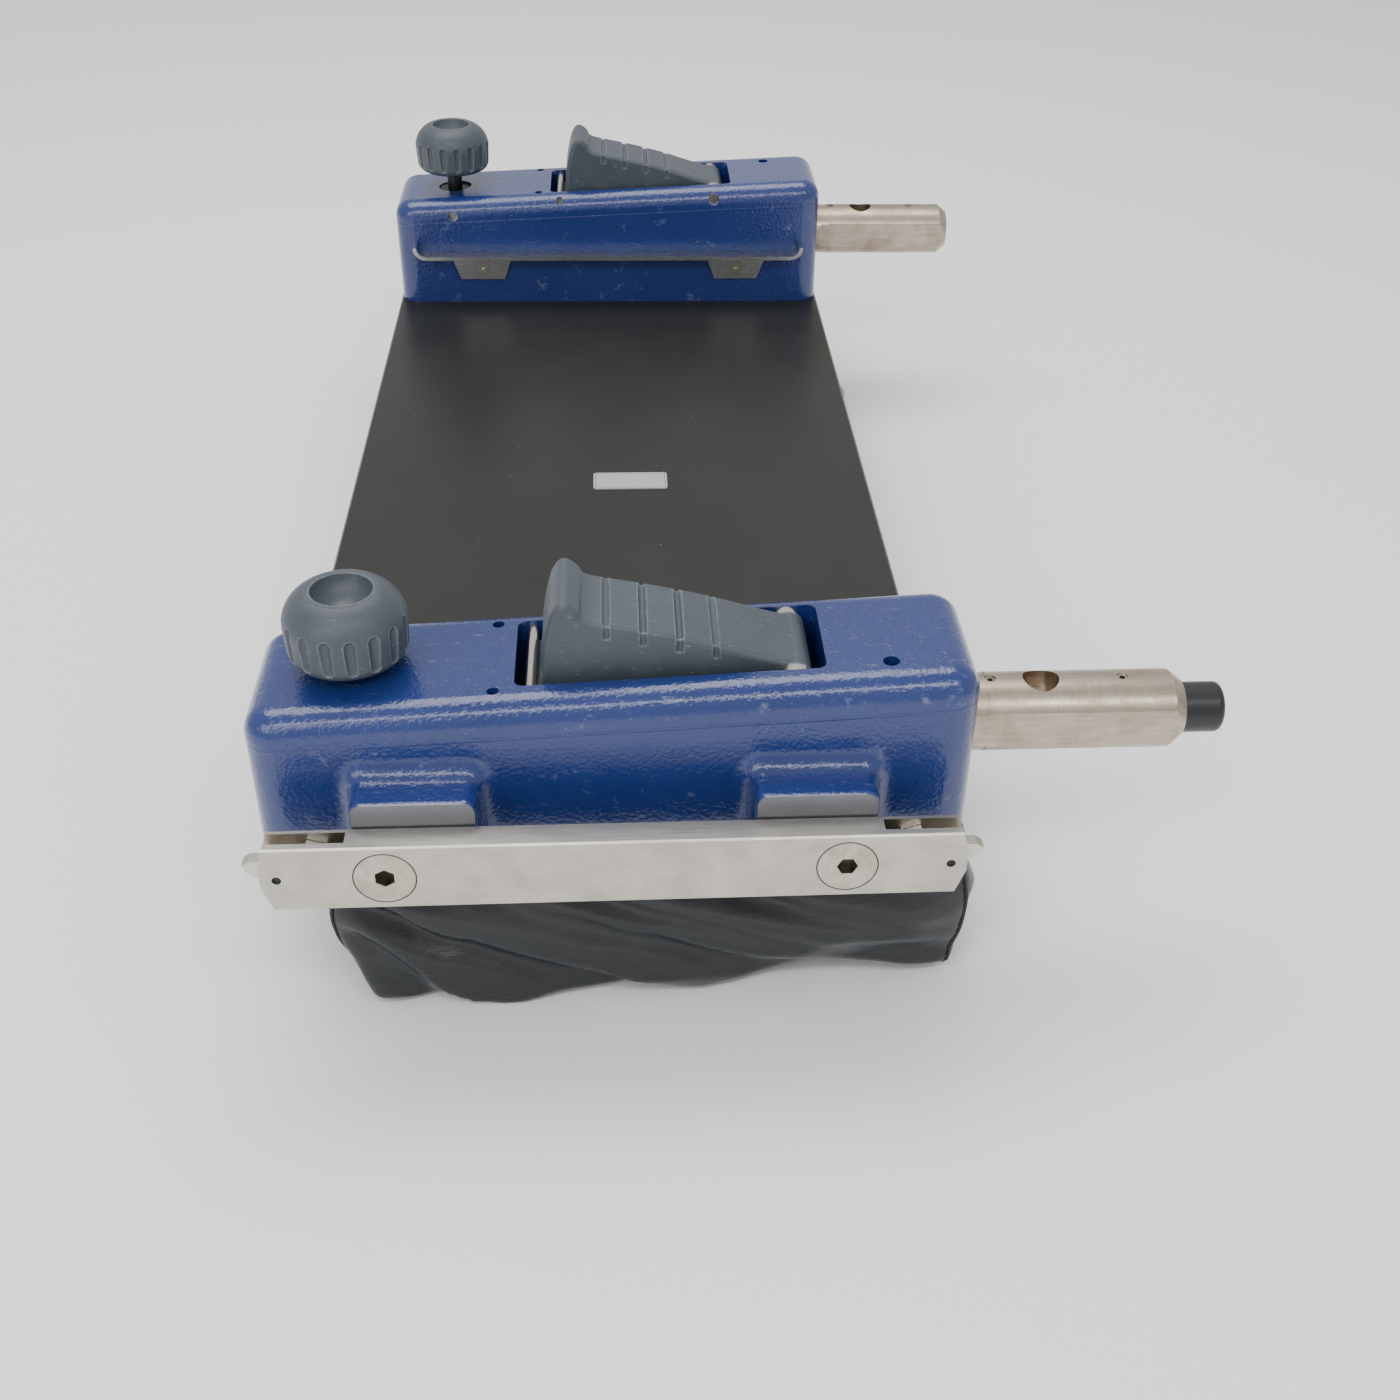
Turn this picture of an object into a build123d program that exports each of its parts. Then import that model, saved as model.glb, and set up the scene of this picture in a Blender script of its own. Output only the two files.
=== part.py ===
from build123d import *
import math
import os

# Plug-in section of a modular operating table, lying on its pad with its working side up.
# Millimetres.  +X points the way the coupling pins point, +Y runs across the table, +Z is up.
# Origin: on the surface that the pad rests on, mid-width, at mid-length of the panel.
# "Right" is the -Y side and "left" the +Y side for someone who looks along +X.

# ---------------------------------------------------------------- driving sizes
BODY_WIDTH = 540.0           # over the outer faces of the two housings
PIN_INSET = 31.0             # coupling axis inside a housing's outer face
HOUSING_LENGTH = 235.0
HOUSING_WIDTH = 59.0
HOUSING_HEIGHT = 61.0        # above the panel, at mid-length
TOP_RISE = 0.05              # rise of the top per mm towards the pins
CORNER_RADIUS = 10.0         # upright corners of a housing
TOP_RADIUS = 9.0             # edges round a housing's top
FRONT = HOUSING_LENGTH / 2   # end faces of a housing
REAR = -FRONT
PIN_HEIGHT = HOUSING_HEIGHT - 28.7   # coupling axis above the panel's upper face

PAD_THICKNESS = 58.0
PAD_LENGTH = HOUSING_LENGTH - 15.0
PAD_SHIFT = 11.0             # pad centre towards the pins, so that it covers the joint
PAD_EDGE_RADIUS = 12.0
PAD_INSET = 1.0              # pad's side face inside the panel's side face
STRIP_THICKNESS = 2.0        # hook-and-loop strips between the pad and the panel
STRIP_WIDTH = 30.0
STRIP_LENGTH = BODY_WIDTH - 100.0
STRIP_OFFSET = FRONT - 47.5
PANEL_THICKNESS = 6.0
PANEL_LENGTH = HOUSING_LENGTH + 2.0
PANEL_EDGE = 1.0
PLATE_SIZE = (34.0, 15.5, 0.6)
PLATE_CENTRE = (8.0, -8.0)
PLATE_CORNER = 1.5

CAVITY_LENGTH = 100.0        # lever opening
CAVITY_FRONT = FRONT - 49.5
CAVITY_REAR = CAVITY_FRONT - CAVITY_LENGTH
CAVITY_WIDTH = 38.0
CAVITY_FLOOR = 12.0          # floor of the cavity above the panel
CAVITY_RADIUS = 3.0

# ---------------------------------------------------------------- side rails
RAIL_HEIGHT = 25.0
RAIL_THICKNESS = 10.0
RAIL_STANDOFF = 15.0         # housing face to back of the rail
RAIL_HALF_TOP = FRONT - 7.5
RAIL_HALF_MID = FRONT - 5.5
RAIL_HALF_FOOT = FRONT - 8.8
RAIL_MID_BAND = (9.5, 17.0)
RAIL_EDGE = 0.6
RAIL_SCREW_X = FRONT - 44.3
RAIL_SCREW_HEAD = 20.0
RAIL_SCREW_SHANK = 10.0
RAIL_SCREW_LENGTH = 34.0
RAIL_SCREW_KEY = 6.0
BOSS_FAR = FRONT - 33.5      # outer and inner edge of a rail boss from mid-length
BOSS_NEAR = BOSS_FAR - 40.0
BOSS_HEIGHT = HOUSING_HEIGHT - 27.0
BOSS_FILLET = 7.0
BOSS_ROUND = 5.0
BOSS_STOCK = 2.5             # cast stock that is machined away from a boss's seat

STOP_SLOT_WIDTH = 5.0
STOP_SLOT_FROM_BACK = 2.0
STOP_SLOT_LENGTH = 27.0
STOP_SLOT_FLOOR = 4.0
STOP_THICKNESS = 4.6
STOP_PIN_X = FRONT - 10.75
STOP_PIN_HEIGHT = 12.6
STOP_PIN_DIAMETER = 3.0
STOP_PIN_SUNK = 0.6          # pin's end below the rail's face
STOP_PIN_BITE = 1.2          # pin's hold in the rail behind the slot
STOP_ARM = 18.5              # rail stop's arm from its pin towards mid-length
STOP_TAB = 10.9              # rail stop's tab from its pin outwards
STOP_SLANT = 3.0             # slope at the end of the arm
STOP_HUMP = (9.5, 10.0)      # highest place of the arm: towards mid-length, above the pin
STOP_TOP = (5.0, 6.0, 5.2)   # level top over the pin: where it starts, its height there and further out
STOP_NOSE = (2.5, 3.6, 0.8)  # tab's rounded nose: length, its upper and lower corner above the pin
STOP_HEEL = (6.0, 1.9, 3.4, 2.0)  # underside: half length, then how far it lies below the pin

# ---------------------------------------------------------------- coupling
PIN_DIAMETER = 27.0
PIN_REACH = 76.0             # steel pin beyond the housing
PIN_SHANK = 45.5             # steel pin inside the housing
SHANK_DIAMETER = PIN_DIAMETER - 1.0   # the pin is shouldered against the housing
PIN_ROOT = 7.5               # relieved stretch next to the housing
PIN_RELIEF = 0.2             # radial
PIN_CHAMFER = (3.5, 4.5)     # radial, axial
PIN_FLAT_WIDTH = PIN_DIAMETER / 2
PIN_FLAT_START = 3.0
CROSS_HOLE_X = 26.4          # lock hole from the housing's face
CROSS_HOLE_DIAMETER = 12.4
PIN_SCREW_AT = (9.0, 54.5)
PIN_SCREW_DIAMETER = 4.0
PIN_SCREW_DEPTH = 6.5
PIN_SCREW_KEY = (2.0, 2.5)    # across flats, depth
PIN_SCREW_SUNK = 0.6
TIP_DIAMETER = PIN_DIAMETER - 9.5
TIP_LENGTH = 14.5
TIP_ROUND = 2.5
TIP_SPIGOT = 10.0
TIP_SPIGOT_LENGTH = 26.0
SOCKET_WALL = 1.75
PIN_BOLT_X = FRONT - 22.5
PIN_BOLT_DIAMETER = 8.0
PIN_BOLT_HEAD = (13.0, 8.0)
PIN_BOLT_BITE = 6.5
PIN_BOLT_KEY = (6.0, 4.0)    # across flats, depth

ROD_DIAMETER = 11.0
ROD_BORE_TAIL = 16.0         # rod bore beyond the lock hole's axis
ROD_TONGUE_WIDTH = 4.4
ROD_TONGUE_HEIGHT = 3.0
LOCK_SLOPE = 0.36            # plunger drop for each mm of rod travel
PLUNGER_RECESS = 3.4         # plunger's nose above the pin's lowest line at rest
PLUNGER_HEIGHT = PIN_DIAMETER - 11.4
PLUNGER_ROUND = 2.0

# ---------------------------------------------------------------- release lever
PIVOT_X = CAVITY_FRONT - 9.7
PIVOT_HEIGHT = HOUSING_HEIGHT - 3.0
LEVER_WIDTH = CAVITY_WIDTH - 7.0
LEVER_REACH = 81.9           # pivot to the lever's curved free face
LEVER_SWING = 15.0
LEVER_HUB = 5.8
LEVER_BOTTOM = HOUSING_HEIGHT - 14.0
LEVER_RIDGE = 24.0           # heights above the pivot: finger ridge
LEVER_CROWN = 28.8
LEVER_DIP = 22.0             # where the grip starts behind the ridge
LEVER_MIDDLE = 13.2
LEVER_BEND = 8.0
RIDGE_BACK = 73.5            # distances from the pivot: crown, its far side, then the grip's start and middle
RIDGE_FRONT = (68.9, 25.2)
GRIP_START = 64.3
GRIP_MIDDLE = 25.3
GRIP_SLOPE = 0.226
HEEL_FRONT = 18.3            # ends of the lever's flat underside, from the pivot
HEEL_REAR = 66.3
HEEL_RAMP = 4.0
LEVER_TOE = 5.4
LEVER_TOE_HEIGHT = 5.0
LEVER_EDGE = 2.2
GROOVES = (60.6, 48.9, 37.3, 25.7)   # from the pivot
GROOVE_RADIUS = 1.3
GROOVE_SUNK = 0.35           # share of its radius that a groove's axis lies outside the face
GROOVE_DROP = 5.5            # length of a groove down the lever's side
PIVOT_DIAMETER = 6.0
WASHER_RADIUS = 5.8
LEVER_STOP_DIAMETER = 4.0
LEVER_STOP_X = CAVITY_REAR + 5.2
LEVER_STOP_COVER = 1.2       # metal over the stop pin
CRANK_THICKNESS = 10.0
CRANK_NOSE = 3.5
CRANK_REAR = PIVOT_X - 28.3  # ends of the crank's foot in the lever
CRANK_FRONT = PIVOT_X - 8.3
CRANK_BITE = 3.0             # foot above the hub's underside, and below the lever
CRANK_NECK = 6.0
SPRING_DIAMETER = 10.0
SPRING_WIRE = 1.2
SPRING_X = PIVOT_X - 58.3
SPRING_POCKET = 4.0
POCKET_ROOM = 1.0            # radial, spring in its pocket
BLIND_HOLE = 6.0             # solid wall outside the lever's cross pins
PIVOT_PIN_SUNK = 2.0
LEVER_STOP_SUNK = 6.0

# ---------------------------------------------------------------- clamp knob
KNOB_X = REAR + 32.0
KNOB_DIAMETER = 40.0
KNOB_HEIGHT = 24.0
KNOB_FLUTES = 16
KNOB_DISH = 20.0
KNOB_DISH_DEPTH = 8.0
KNOB_FLUTE = (2.2, 16.5, 2.1)    # foot, head and radius of a flute
KNOB_FLUTE_OUT = 0.7         # flute's axis outside the knob's rim
KNOB_FOOT = (5.0, 1.3, 2.0, 0.5, 5.0)    # rounding of the foot: inset, inset and height, inset and height
KNOB_DOME = (10.5, 2.9, 3.6, 8.2)        # rounding of the top: drop, inset and drop, inset
CLAMP_THREAD = 8.0
CLAMP_TIP = (6.4, 1.5)
CLAMP_CLEAR = 0.35           # clamp tip above the socket's wall when just withdrawn
CLAMP_RAISED = {"right": 0.0, "left": 6.0}
KNOB_GAP = 4.0               # knob above the housing when the tip is just withdrawn
INSERT_DIAMETER = 18.0
DOWEL_DIAMETER = 5.0
DOWEL_RISE = 1.0             # dowel's axis above the insert's foot
DOWEL_BITE = 1.0
DOWEL_SUNK = 3.0
INSERT_SUNK = 0.4
INSERT_EDGE = 0.8
CLAMP_SCREW_EDGE = 0.6

# ---------------------------------------------------------------- guide strips and small holes
GUIDE_HALF = FRONT - 9.5
GUIDE_DEPTH = 10.0
GUIDE_THICKNESS = 2.0
GUIDE_HEIGHT = 27.5          # underside above the panel
GUIDE_FLARE = 7.0
GUIDE_TAB_X = FRONT - 46.5
GUIDE_TAB_TOP = 34.0
GUIDE_TAB_FOOT = 24.0
GUIDE_TAB_DROP = 13.5
GUIDE_SCREW_DROP = 7.0
GUIDE_TAB_BEND = (1.5, 4.0)  # tab's narrowing below the flange, and where it ends
GUIDE_SCREW = (4.0, 7.4, 12.0)   # shank, head, length
GUIDE_SCREW_KEY = 2.5
JIG_HOLE = 4.0
JIG_HOLE_X = CAVITY_REAR - 6.5
JIG_HOLE_OFFSETS = (18.0, -21.0)
JIG_HOLE_DEPTH = 8.0
SIDE_HOLE = 5.5
SIDE_HOLE_X = FRONT - 28.7
SIDE_HOLE_OFFSET = -17.5
SIDE_HOLE_DEPTH = 14.0
BOLT_X = (REAR + 17.5, REAR + 72.5, FRONT - 72.5, FRONT - 9.5)
BOLT_OFFSET = 18.0
BOLT = (6.0, 12.0, 15.0)     # shank, head, length
BOLT_KEY = 4.0

# ---------------------------------------------------------------- clearances
RUNNING = 0.05               # radial, shaft in a bearing
FREE = 0.3                   # between moving pieces that must not touch
SEAT = 0.1                   # loose seat of a piece that is fixed later
BOLT_ROOM = 0.5              # round the head and past the end of the pin bolt
OVER = 1.0                   # how far a cut runs past the face it opens
NEAR = 0.01                  # how exactly an edge is looked for
HEAD_RIM = 0.04              # upright rim of a countersunk head, as a share of its diameter

# ---------------------------------------------------------------- derived places
PANEL_TOP = PAD_THICKNESS + STRIP_THICKNESS + PANEL_THICKNESS
PANEL_UNDER = PANEL_TOP - PANEL_THICKNESS
OUTER = -BODY_WIDTH / 2
INNER = OUTER + HOUSING_WIDTH
CENTRE = OUTER + PIN_INSET
AXIS_Z = PANEL_TOP + PIN_HEIGHT
PIN_RADIUS = PIN_DIAMETER / 2
SHANK_RADIUS = SHANK_DIAMETER / 2
SOCKET_RADIUS = PIN_RADIUS + RUNNING
LINER_RADIUS = SOCKET_RADIUS + SOCKET_WALL
RAIL_BACK = OUTER - RAIL_STANDOFF
RAIL_FACE = RAIL_BACK - RAIL_THICKNESS
CAVITY_Z = PANEL_TOP + CAVITY_FLOOR
CROSS_X = FRONT + CROSS_HOLE_X
PIVOT_Z = PANEL_TOP + PIVOT_HEIGHT
ARM_LENGTH = PIVOT_Z - AXIS_Z
ROD_START = PIVOT_X + CRANK_NOSE + FREE
ROD_TRAVEL = ARM_LENGTH * math.radians(LEVER_SWING)
CLAMP_TIP_Z = AXIS_Z + SOCKET_RADIUS + CLAMP_CLEAR
DOWEL_START = CENTRE + INSERT_DIAMETER / 2 - DOWEL_BITE
DOWEL_Z = AXIS_Z + LINER_RADIUS + DOWEL_RISE
STOP_Z = PANEL_TOP + STOP_PIN_HEIGHT
STOP_Y = RAIL_BACK - STOP_SLOT_FROM_BACK - STOP_SLOT_WIDTH / 2


def top_z(x):
    """Height of a housing's sloping top at x."""
    return PANEL_TOP + HOUSING_HEIGHT + TOP_RISE * x


LEVER_STOP_Z = top_z(LEVER_STOP_X) - LEVER_STOP_DIAMETER / 2 - LEVER_STOP_COVER


# ================================================================ helpers
def block(x0, x1, y0, y1, z0, z1):
    """Box between two corners."""
    return Pos((x0 + x1) / 2, (y0 + y1) / 2, (z0 + z1) / 2) * Box(x1 - x0, y1 - y0, z1 - z0)


def bar_x(radius, x0, x1, y, z):
    """Round bar along X."""
    return Pos((x0 + x1) / 2, y, z) * Rot(0, 90, 0) * Cylinder(radius, x1 - x0)


def bar_y(radius, y0, y1, x, z):
    """Round bar along Y."""
    return Pos(x, (y0 + y1) / 2, z) * Rot(90, 0, 0) * Cylinder(radius, y1 - y0)


def bar_z(radius, z0, z1, x, y):
    """Round bar along Z."""
    return Pos(x, y, (z0 + z1) / 2) * Cylinder(radius, z1 - z0)


def slab_xz(points, y0, y1):
    """Outline in the XZ plane, as thick as from y0 to y1."""
    outline = Polyline(*[(x, y0, z) for x, z in points], close=True)
    return extrude(make_face(outline), amount=y1 - y0, dir=(0, 1, 0))


def turned(points, x, y, z):
    """Turned piece about +Z: points are (radius, height)."""
    outline = Polyline(*[(r, 0, h) for r, h in points], close=True)
    return Pos(x, y, z) * revolve(make_face(outline), axis=Axis.Z, revolution_arc=360)


def hex_socket(across_flats, depth):
    """Hexagon prism below z = 0, to cut a key socket."""
    key = extrude(RegularPolygon(across_flats / math.sqrt(3), 6), amount=depth)
    return Pos(0, 0, -depth) * key


def countersunk_screw(shank, head, length, key):
    """Countersunk screw that points down, with its head's face at z = 0."""
    cone = (head - shank) / 2
    rim = HEAD_RIM * head
    body = turned([(0, 0), (head / 2, 0), (head / 2, -rim), (shank / 2, -rim - cone),
                   (shank / 2, -length), (0, -length)], 0, 0, 0)
    return body - hex_socket(key, cone)


def countersink_cut(shank, head, length):
    """Hole for countersunk_screw, a little free of it."""
    cone = (head - shank) / 2
    rim = HEAD_RIM * head
    return turned([(0, OVER), (head / 2 + SEAT, OVER), (head / 2 + SEAT, -rim), (shank / 2 + SEAT, -rim - cone),
                   (shank / 2 + SEAT, -length - SEAT), (0, -length - SEAT)], 0, 0, 0)


def on_side(shape, side):
    """A piece made for the right side, or its mirror image for the left side."""
    return shape if side == "right" else mirror(shape, about=Plane.XZ)


def save(shape, name):
    """Write one node."""
    solids = shape.solids()
    whole = solids[0] if len(solids) == 1 else Compound(children=list(solids))
    export_step(whole, f"parts/{name}.step")


# ================================================================ pad and panel
def make_pad():
    half = PAD_LENGTH / 2
    edge = BODY_WIDTH / 2 - PAD_INSET
    pad = block(PAD_SHIFT - half, PAD_SHIFT + half, -edge, edge, 0, PAD_THICKNESS)
    pad = fillet(pad.edges().filter_by(Axis.Z), PAD_EDGE_RADIUS)
    return fillet(pad.faces().sort_by(Axis.Z)[-1].edges(), PAD_EDGE_RADIUS / 2)


def make_pad_strips():
    strips = []
    for x in (-STRIP_OFFSET, STRIP_OFFSET):
        strips.append(block(x - STRIP_WIDTH / 2, x + STRIP_WIDTH / 2, -STRIP_LENGTH / 2, STRIP_LENGTH / 2,
                            PAD_THICKNESS, PANEL_UNDER))
    return Compound(children=strips)


def bolt_places():
    """Housing bolts, on the right side."""
    places = []
    for x in BOLT_X:
        for offset in (-BOLT_OFFSET, BOLT_OFFSET):
            places.append(Location((x, CENTRE + offset, PANEL_UNDER), (180, 0, 0)))
    return places


def pin_bolt_recess():
    """Hole in the panel under the bolt that holds the coupling pin."""
    return bar_z(PIN_BOLT_HEAD[0] / 2 + OVER, PANEL_UNDER - OVER, PANEL_TOP + OVER, PIN_BOLT_X, CENTRE)


def make_panel():
    half = PANEL_LENGTH / 2
    panel = block(-half, half, OUTER, -OUTER, PANEL_UNDER, PANEL_TOP)
    panel = fillet(panel.edges().filter_by(Axis.Z), CORNER_RADIUS / 2)
    panel = chamfer(panel.faces().sort_by(Axis.Z)[-1].edges(), PANEL_EDGE)
    cuts = [place * countersink_cut(*BOLT) for place in bolt_places()] + [pin_bolt_recess()]
    for side in ("right", "left"):
        for cut in cuts:
            panel = panel - on_side(cut, side)
    return panel


def make_label_plate():
    width, depth, thick = PLATE_SIZE
    plate = Pos(PLATE_CENTRE[0], PLATE_CENTRE[1], PANEL_TOP + thick / 2) * Box(width, depth, thick)
    return fillet(plate.edges().filter_by(Axis.Z), PLATE_CORNER)


# ================================================================ housing
def rail_boss(x0, x1):
    """Cast boss with a machined seat for the side rail."""
    stock = RAIL_BACK - BOSS_STOCK
    boss = block(x0, x1, stock, OUTER + CORNER_RADIUS, PANEL_TOP, PANEL_TOP + BOSS_HEIGHT)
    upright = boss.faces().sort_by(Axis.Y)[0].edges().filter_by(Axis.Z)
    boss = fillet(upright, BOSS_ROUND)
    front = boss.faces().sort_by(Axis.Z)[-1].edges().filter_by(lambda e: e.center().Y < OUTER - NEAR)
    return fillet(front, BOSS_ROUND - 1)


def boss_root_edges(body):
    """Inside corners where the bosses grow out of the housing."""
    def at_root(edge):
        middle = edge.center()
        on_face = abs(middle.Y - OUTER) < NEAR
        near_boss = BOSS_NEAR - NEAR < abs(middle.X) < BOSS_FAR + NEAR
        return on_face and near_boss and PANEL_TOP + NEAR < middle.Z < PANEL_TOP + BOSS_HEIGHT + NEAR
    return body.edges().filter_by(at_root)


def make_housing():
    outline = [(REAR, PANEL_TOP), (FRONT, PANEL_TOP), (FRONT, top_z(FRONT)), (REAR, top_z(REAR))]
    body = slab_xz(outline, OUTER, INNER)
    body = fillet(body.edges().filter_by(Axis.Z), CORNER_RADIUS)
    body = fillet(body.faces().sort_by(Axis.Z)[-1].edges(), TOP_RADIUS)
    for x0, x1 in ((-BOSS_FAR, -BOSS_NEAR), (BOSS_NEAR, BOSS_FAR)):
        body = body + rail_boss(x0, x1)
    body = fillet(boss_root_edges(body), BOSS_FILLET)
    body = body - block(REAR, FRONT, RAIL_FACE - RAIL_THICKNESS, RAIL_BACK, PANEL_TOP - OVER, top_z(FRONT))
    return body - housing_cuts()


def housing_cuts():
    """Everything that is bored or cast hollow in a housing."""
    cavity = block(CAVITY_REAR, CAVITY_FRONT, CENTRE - CAVITY_WIDTH / 2, CENTRE + CAVITY_WIDTH / 2,
                   CAVITY_Z, top_z(FRONT) + OVER)
    cavity = fillet(cavity.edges().filter_by(Axis.Z), CAVITY_RADIUS)
    cuts = [cavity]
    cuts.append(bar_x(LINER_RADIUS, REAR - OVER, CAVITY_REAR + OVER, CENTRE, AXIS_Z))
    cuts.append(bar_x(SHANK_RADIUS, CAVITY_FRONT - OVER, FRONT + OVER, CENTRE, AXIS_Z))
    cuts.append(bar_z(INSERT_DIAMETER / 2, AXIS_Z, top_z(FRONT), KNOB_X, CENTRE))
    cuts.append(bar_y(DOWEL_DIAMETER / 2, DOWEL_START, INNER + OVER, KNOB_X, DOWEL_Z))
    cuts.append(bar_y(PIVOT_DIAMETER / 2, OUTER + BLIND_HOLE, INNER + OVER, PIVOT_X, PIVOT_Z))
    cuts.append(bar_y(LEVER_STOP_DIAMETER / 2, OUTER + BLIND_HOLE, INNER + OVER, LEVER_STOP_X, LEVER_STOP_Z))
    for offset in JIG_HOLE_OFFSETS:
        jig_top = top_z(JIG_HOLE_X)
        cuts.append(bar_z(JIG_HOLE / 2, jig_top - JIG_HOLE_DEPTH, jig_top + OVER, JIG_HOLE_X, CENTRE + offset))
    side_top = top_z(SIDE_HOLE_X)
    cuts.append(bar_z(SIDE_HOLE / 2, side_top - SIDE_HOLE_DEPTH, side_top + OVER, SIDE_HOLE_X,
                      CENTRE + SIDE_HOLE_OFFSET))
    for x in (-RAIL_SCREW_X, RAIL_SCREW_X):
        cuts.append(bar_y(RAIL_SCREW_SHANK / 2, RAIL_BACK - OVER, RAIL_FACE + RAIL_SCREW_LENGTH, x,
                          PANEL_TOP + RAIL_HEIGHT / 2))
    for x in (-GUIDE_TAB_X, GUIDE_TAB_X):
        end = INNER + GUIDE_THICKNESS - GUIDE_SCREW[2]
        cuts.append(bar_y(GUIDE_SCREW[0] / 2, end, INNER + OVER, x, guide_screw_z()))
    for place in bolt_places():
        start = place.position
        cuts.append(bar_z(BOLT[0] / 2, PANEL_TOP - OVER, PANEL_UNDER + BOLT[2], start.X, start.Y))
    head_radius = PIN_BOLT_HEAD[0] / 2 + BOLT_ROOM
    cuts.append(bar_z(head_radius, PANEL_TOP - OVER, PANEL_TOP + PIN_BOLT_HEAD[1], PIN_BOLT_X, CENTRE))
    cuts.append(bar_z(PIN_BOLT_DIAMETER / 2, PANEL_TOP, AXIS_Z, PIN_BOLT_X, CENTRE))
    return cuts


# ================================================================ side rail and its stops
def make_side_rail():
    low, high = RAIL_MID_BAND
    right_end = [(RAIL_HALF_FOOT, 0), (RAIL_HALF_MID, low), (RAIL_HALF_MID, high), (RAIL_HALF_TOP, RAIL_HEIGHT)]
    left_end = [(-x, z) for x, z in reversed(right_end)]
    outline = [(x, PANEL_TOP + z) for x, z in right_end + left_end]
    rail = slab_xz(outline, RAIL_FACE, RAIL_BACK)
    rail = chamfer(rail.edges().filter_by(Axis.X), RAIL_EDGE)
    slot_y = (STOP_Y - STOP_SLOT_WIDTH / 2, STOP_Y + STOP_SLOT_WIDTH / 2)
    for end in (-1, 1):
        inner_x = end * (RAIL_HALF_MID - STOP_SLOT_LENGTH)
        outer_x = end * (RAIL_HALF_MID + OVER)
        rail = rail - block(min(inner_x, outer_x), max(inner_x, outer_x), *slot_y,
                            PANEL_TOP + STOP_SLOT_FLOOR, PANEL_TOP + RAIL_HEIGHT + OVER)
        rail = rail - bar_y(STOP_PIN_DIAMETER / 2, RAIL_FACE - OVER, STOP_Y + STOP_SLOT_WIDTH / 2 + STOP_PIN_BITE,
                            end * STOP_PIN_X, STOP_Z)
        screw_place = Pos(end * RAIL_SCREW_X, RAIL_FACE, PANEL_TOP + RAIL_HEIGHT / 2) * Rot(90, 0, 0)
        rail = rail - screw_place * countersink_cut(RAIL_SCREW_SHANK, RAIL_SCREW_HEAD, RAIL_SCREW_LENGTH)
    return rail


def make_rail_screws():
    screws = []
    for x, turn in ((-RAIL_SCREW_X, 30), (RAIL_SCREW_X, 0)):
        screw = countersunk_screw(RAIL_SCREW_SHANK, RAIL_SCREW_HEAD, RAIL_SCREW_LENGTH, RAIL_SCREW_KEY)
        place = Pos(x, RAIL_FACE, PANEL_TOP + RAIL_HEIGHT / 2) * Rot(90, 0, 0) * Rot(0, 0, turn)
        screws.append(place * screw)
    return Compound(children=screws)


def make_rail_stop(end):
    """Gravity catch in the end of a rail: an arm towards mid-length and a tab that shows at the end."""
    z = STOP_Z
    hump_x, hump = STOP_HUMP
    top_x, top_start, top = STOP_TOP
    nose, upper, lower = STOP_NOSE
    heel_x, heel_out, heel, heel_end = STOP_HEEL
    outline = [(-STOP_ARM, z + STOP_SLANT), (-STOP_ARM + STOP_SLANT, z + hump - heel_end), (-hump_x, z + hump),
               (-top_x, z + top_start), (STOP_SLANT, z + top), (STOP_TAB - nose, z + top), (STOP_TAB, z + upper),
               (STOP_TAB - nose / 2, z + lower), (heel_x, z - heel_out), (0.0, z - heel), (-heel_x, z - heel),
               (-STOP_ARM, z - heel_end)]
    stop = slab_xz(outline, STOP_Y - STOP_THICKNESS / 2, STOP_Y + STOP_THICKNESS / 2)
    stop = stop - bar_y(STOP_PIN_DIAMETER / 2 + RUNNING, STOP_Y - STOP_THICKNESS, STOP_Y + STOP_THICKNESS, 0, z)
    stop = Pos(STOP_PIN_X, 0, 0) * stop
    return stop if end > 0 else mirror(stop, about=Plane.YZ)


def make_rail_stop_pins():
    pins = []
    for end in (-1, 1):
        pins.append(bar_y(STOP_PIN_DIAMETER / 2, RAIL_FACE + STOP_PIN_SUNK,
                          STOP_Y + STOP_SLOT_WIDTH / 2 + STOP_PIN_BITE,
                          end * STOP_PIN_X, STOP_Z))
    return Compound(children=pins)


# ================================================================ guide strip
def guide_screw_z():
    return PANEL_TOP + GUIDE_HEIGHT - GUIDE_SCREW_DROP


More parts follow.
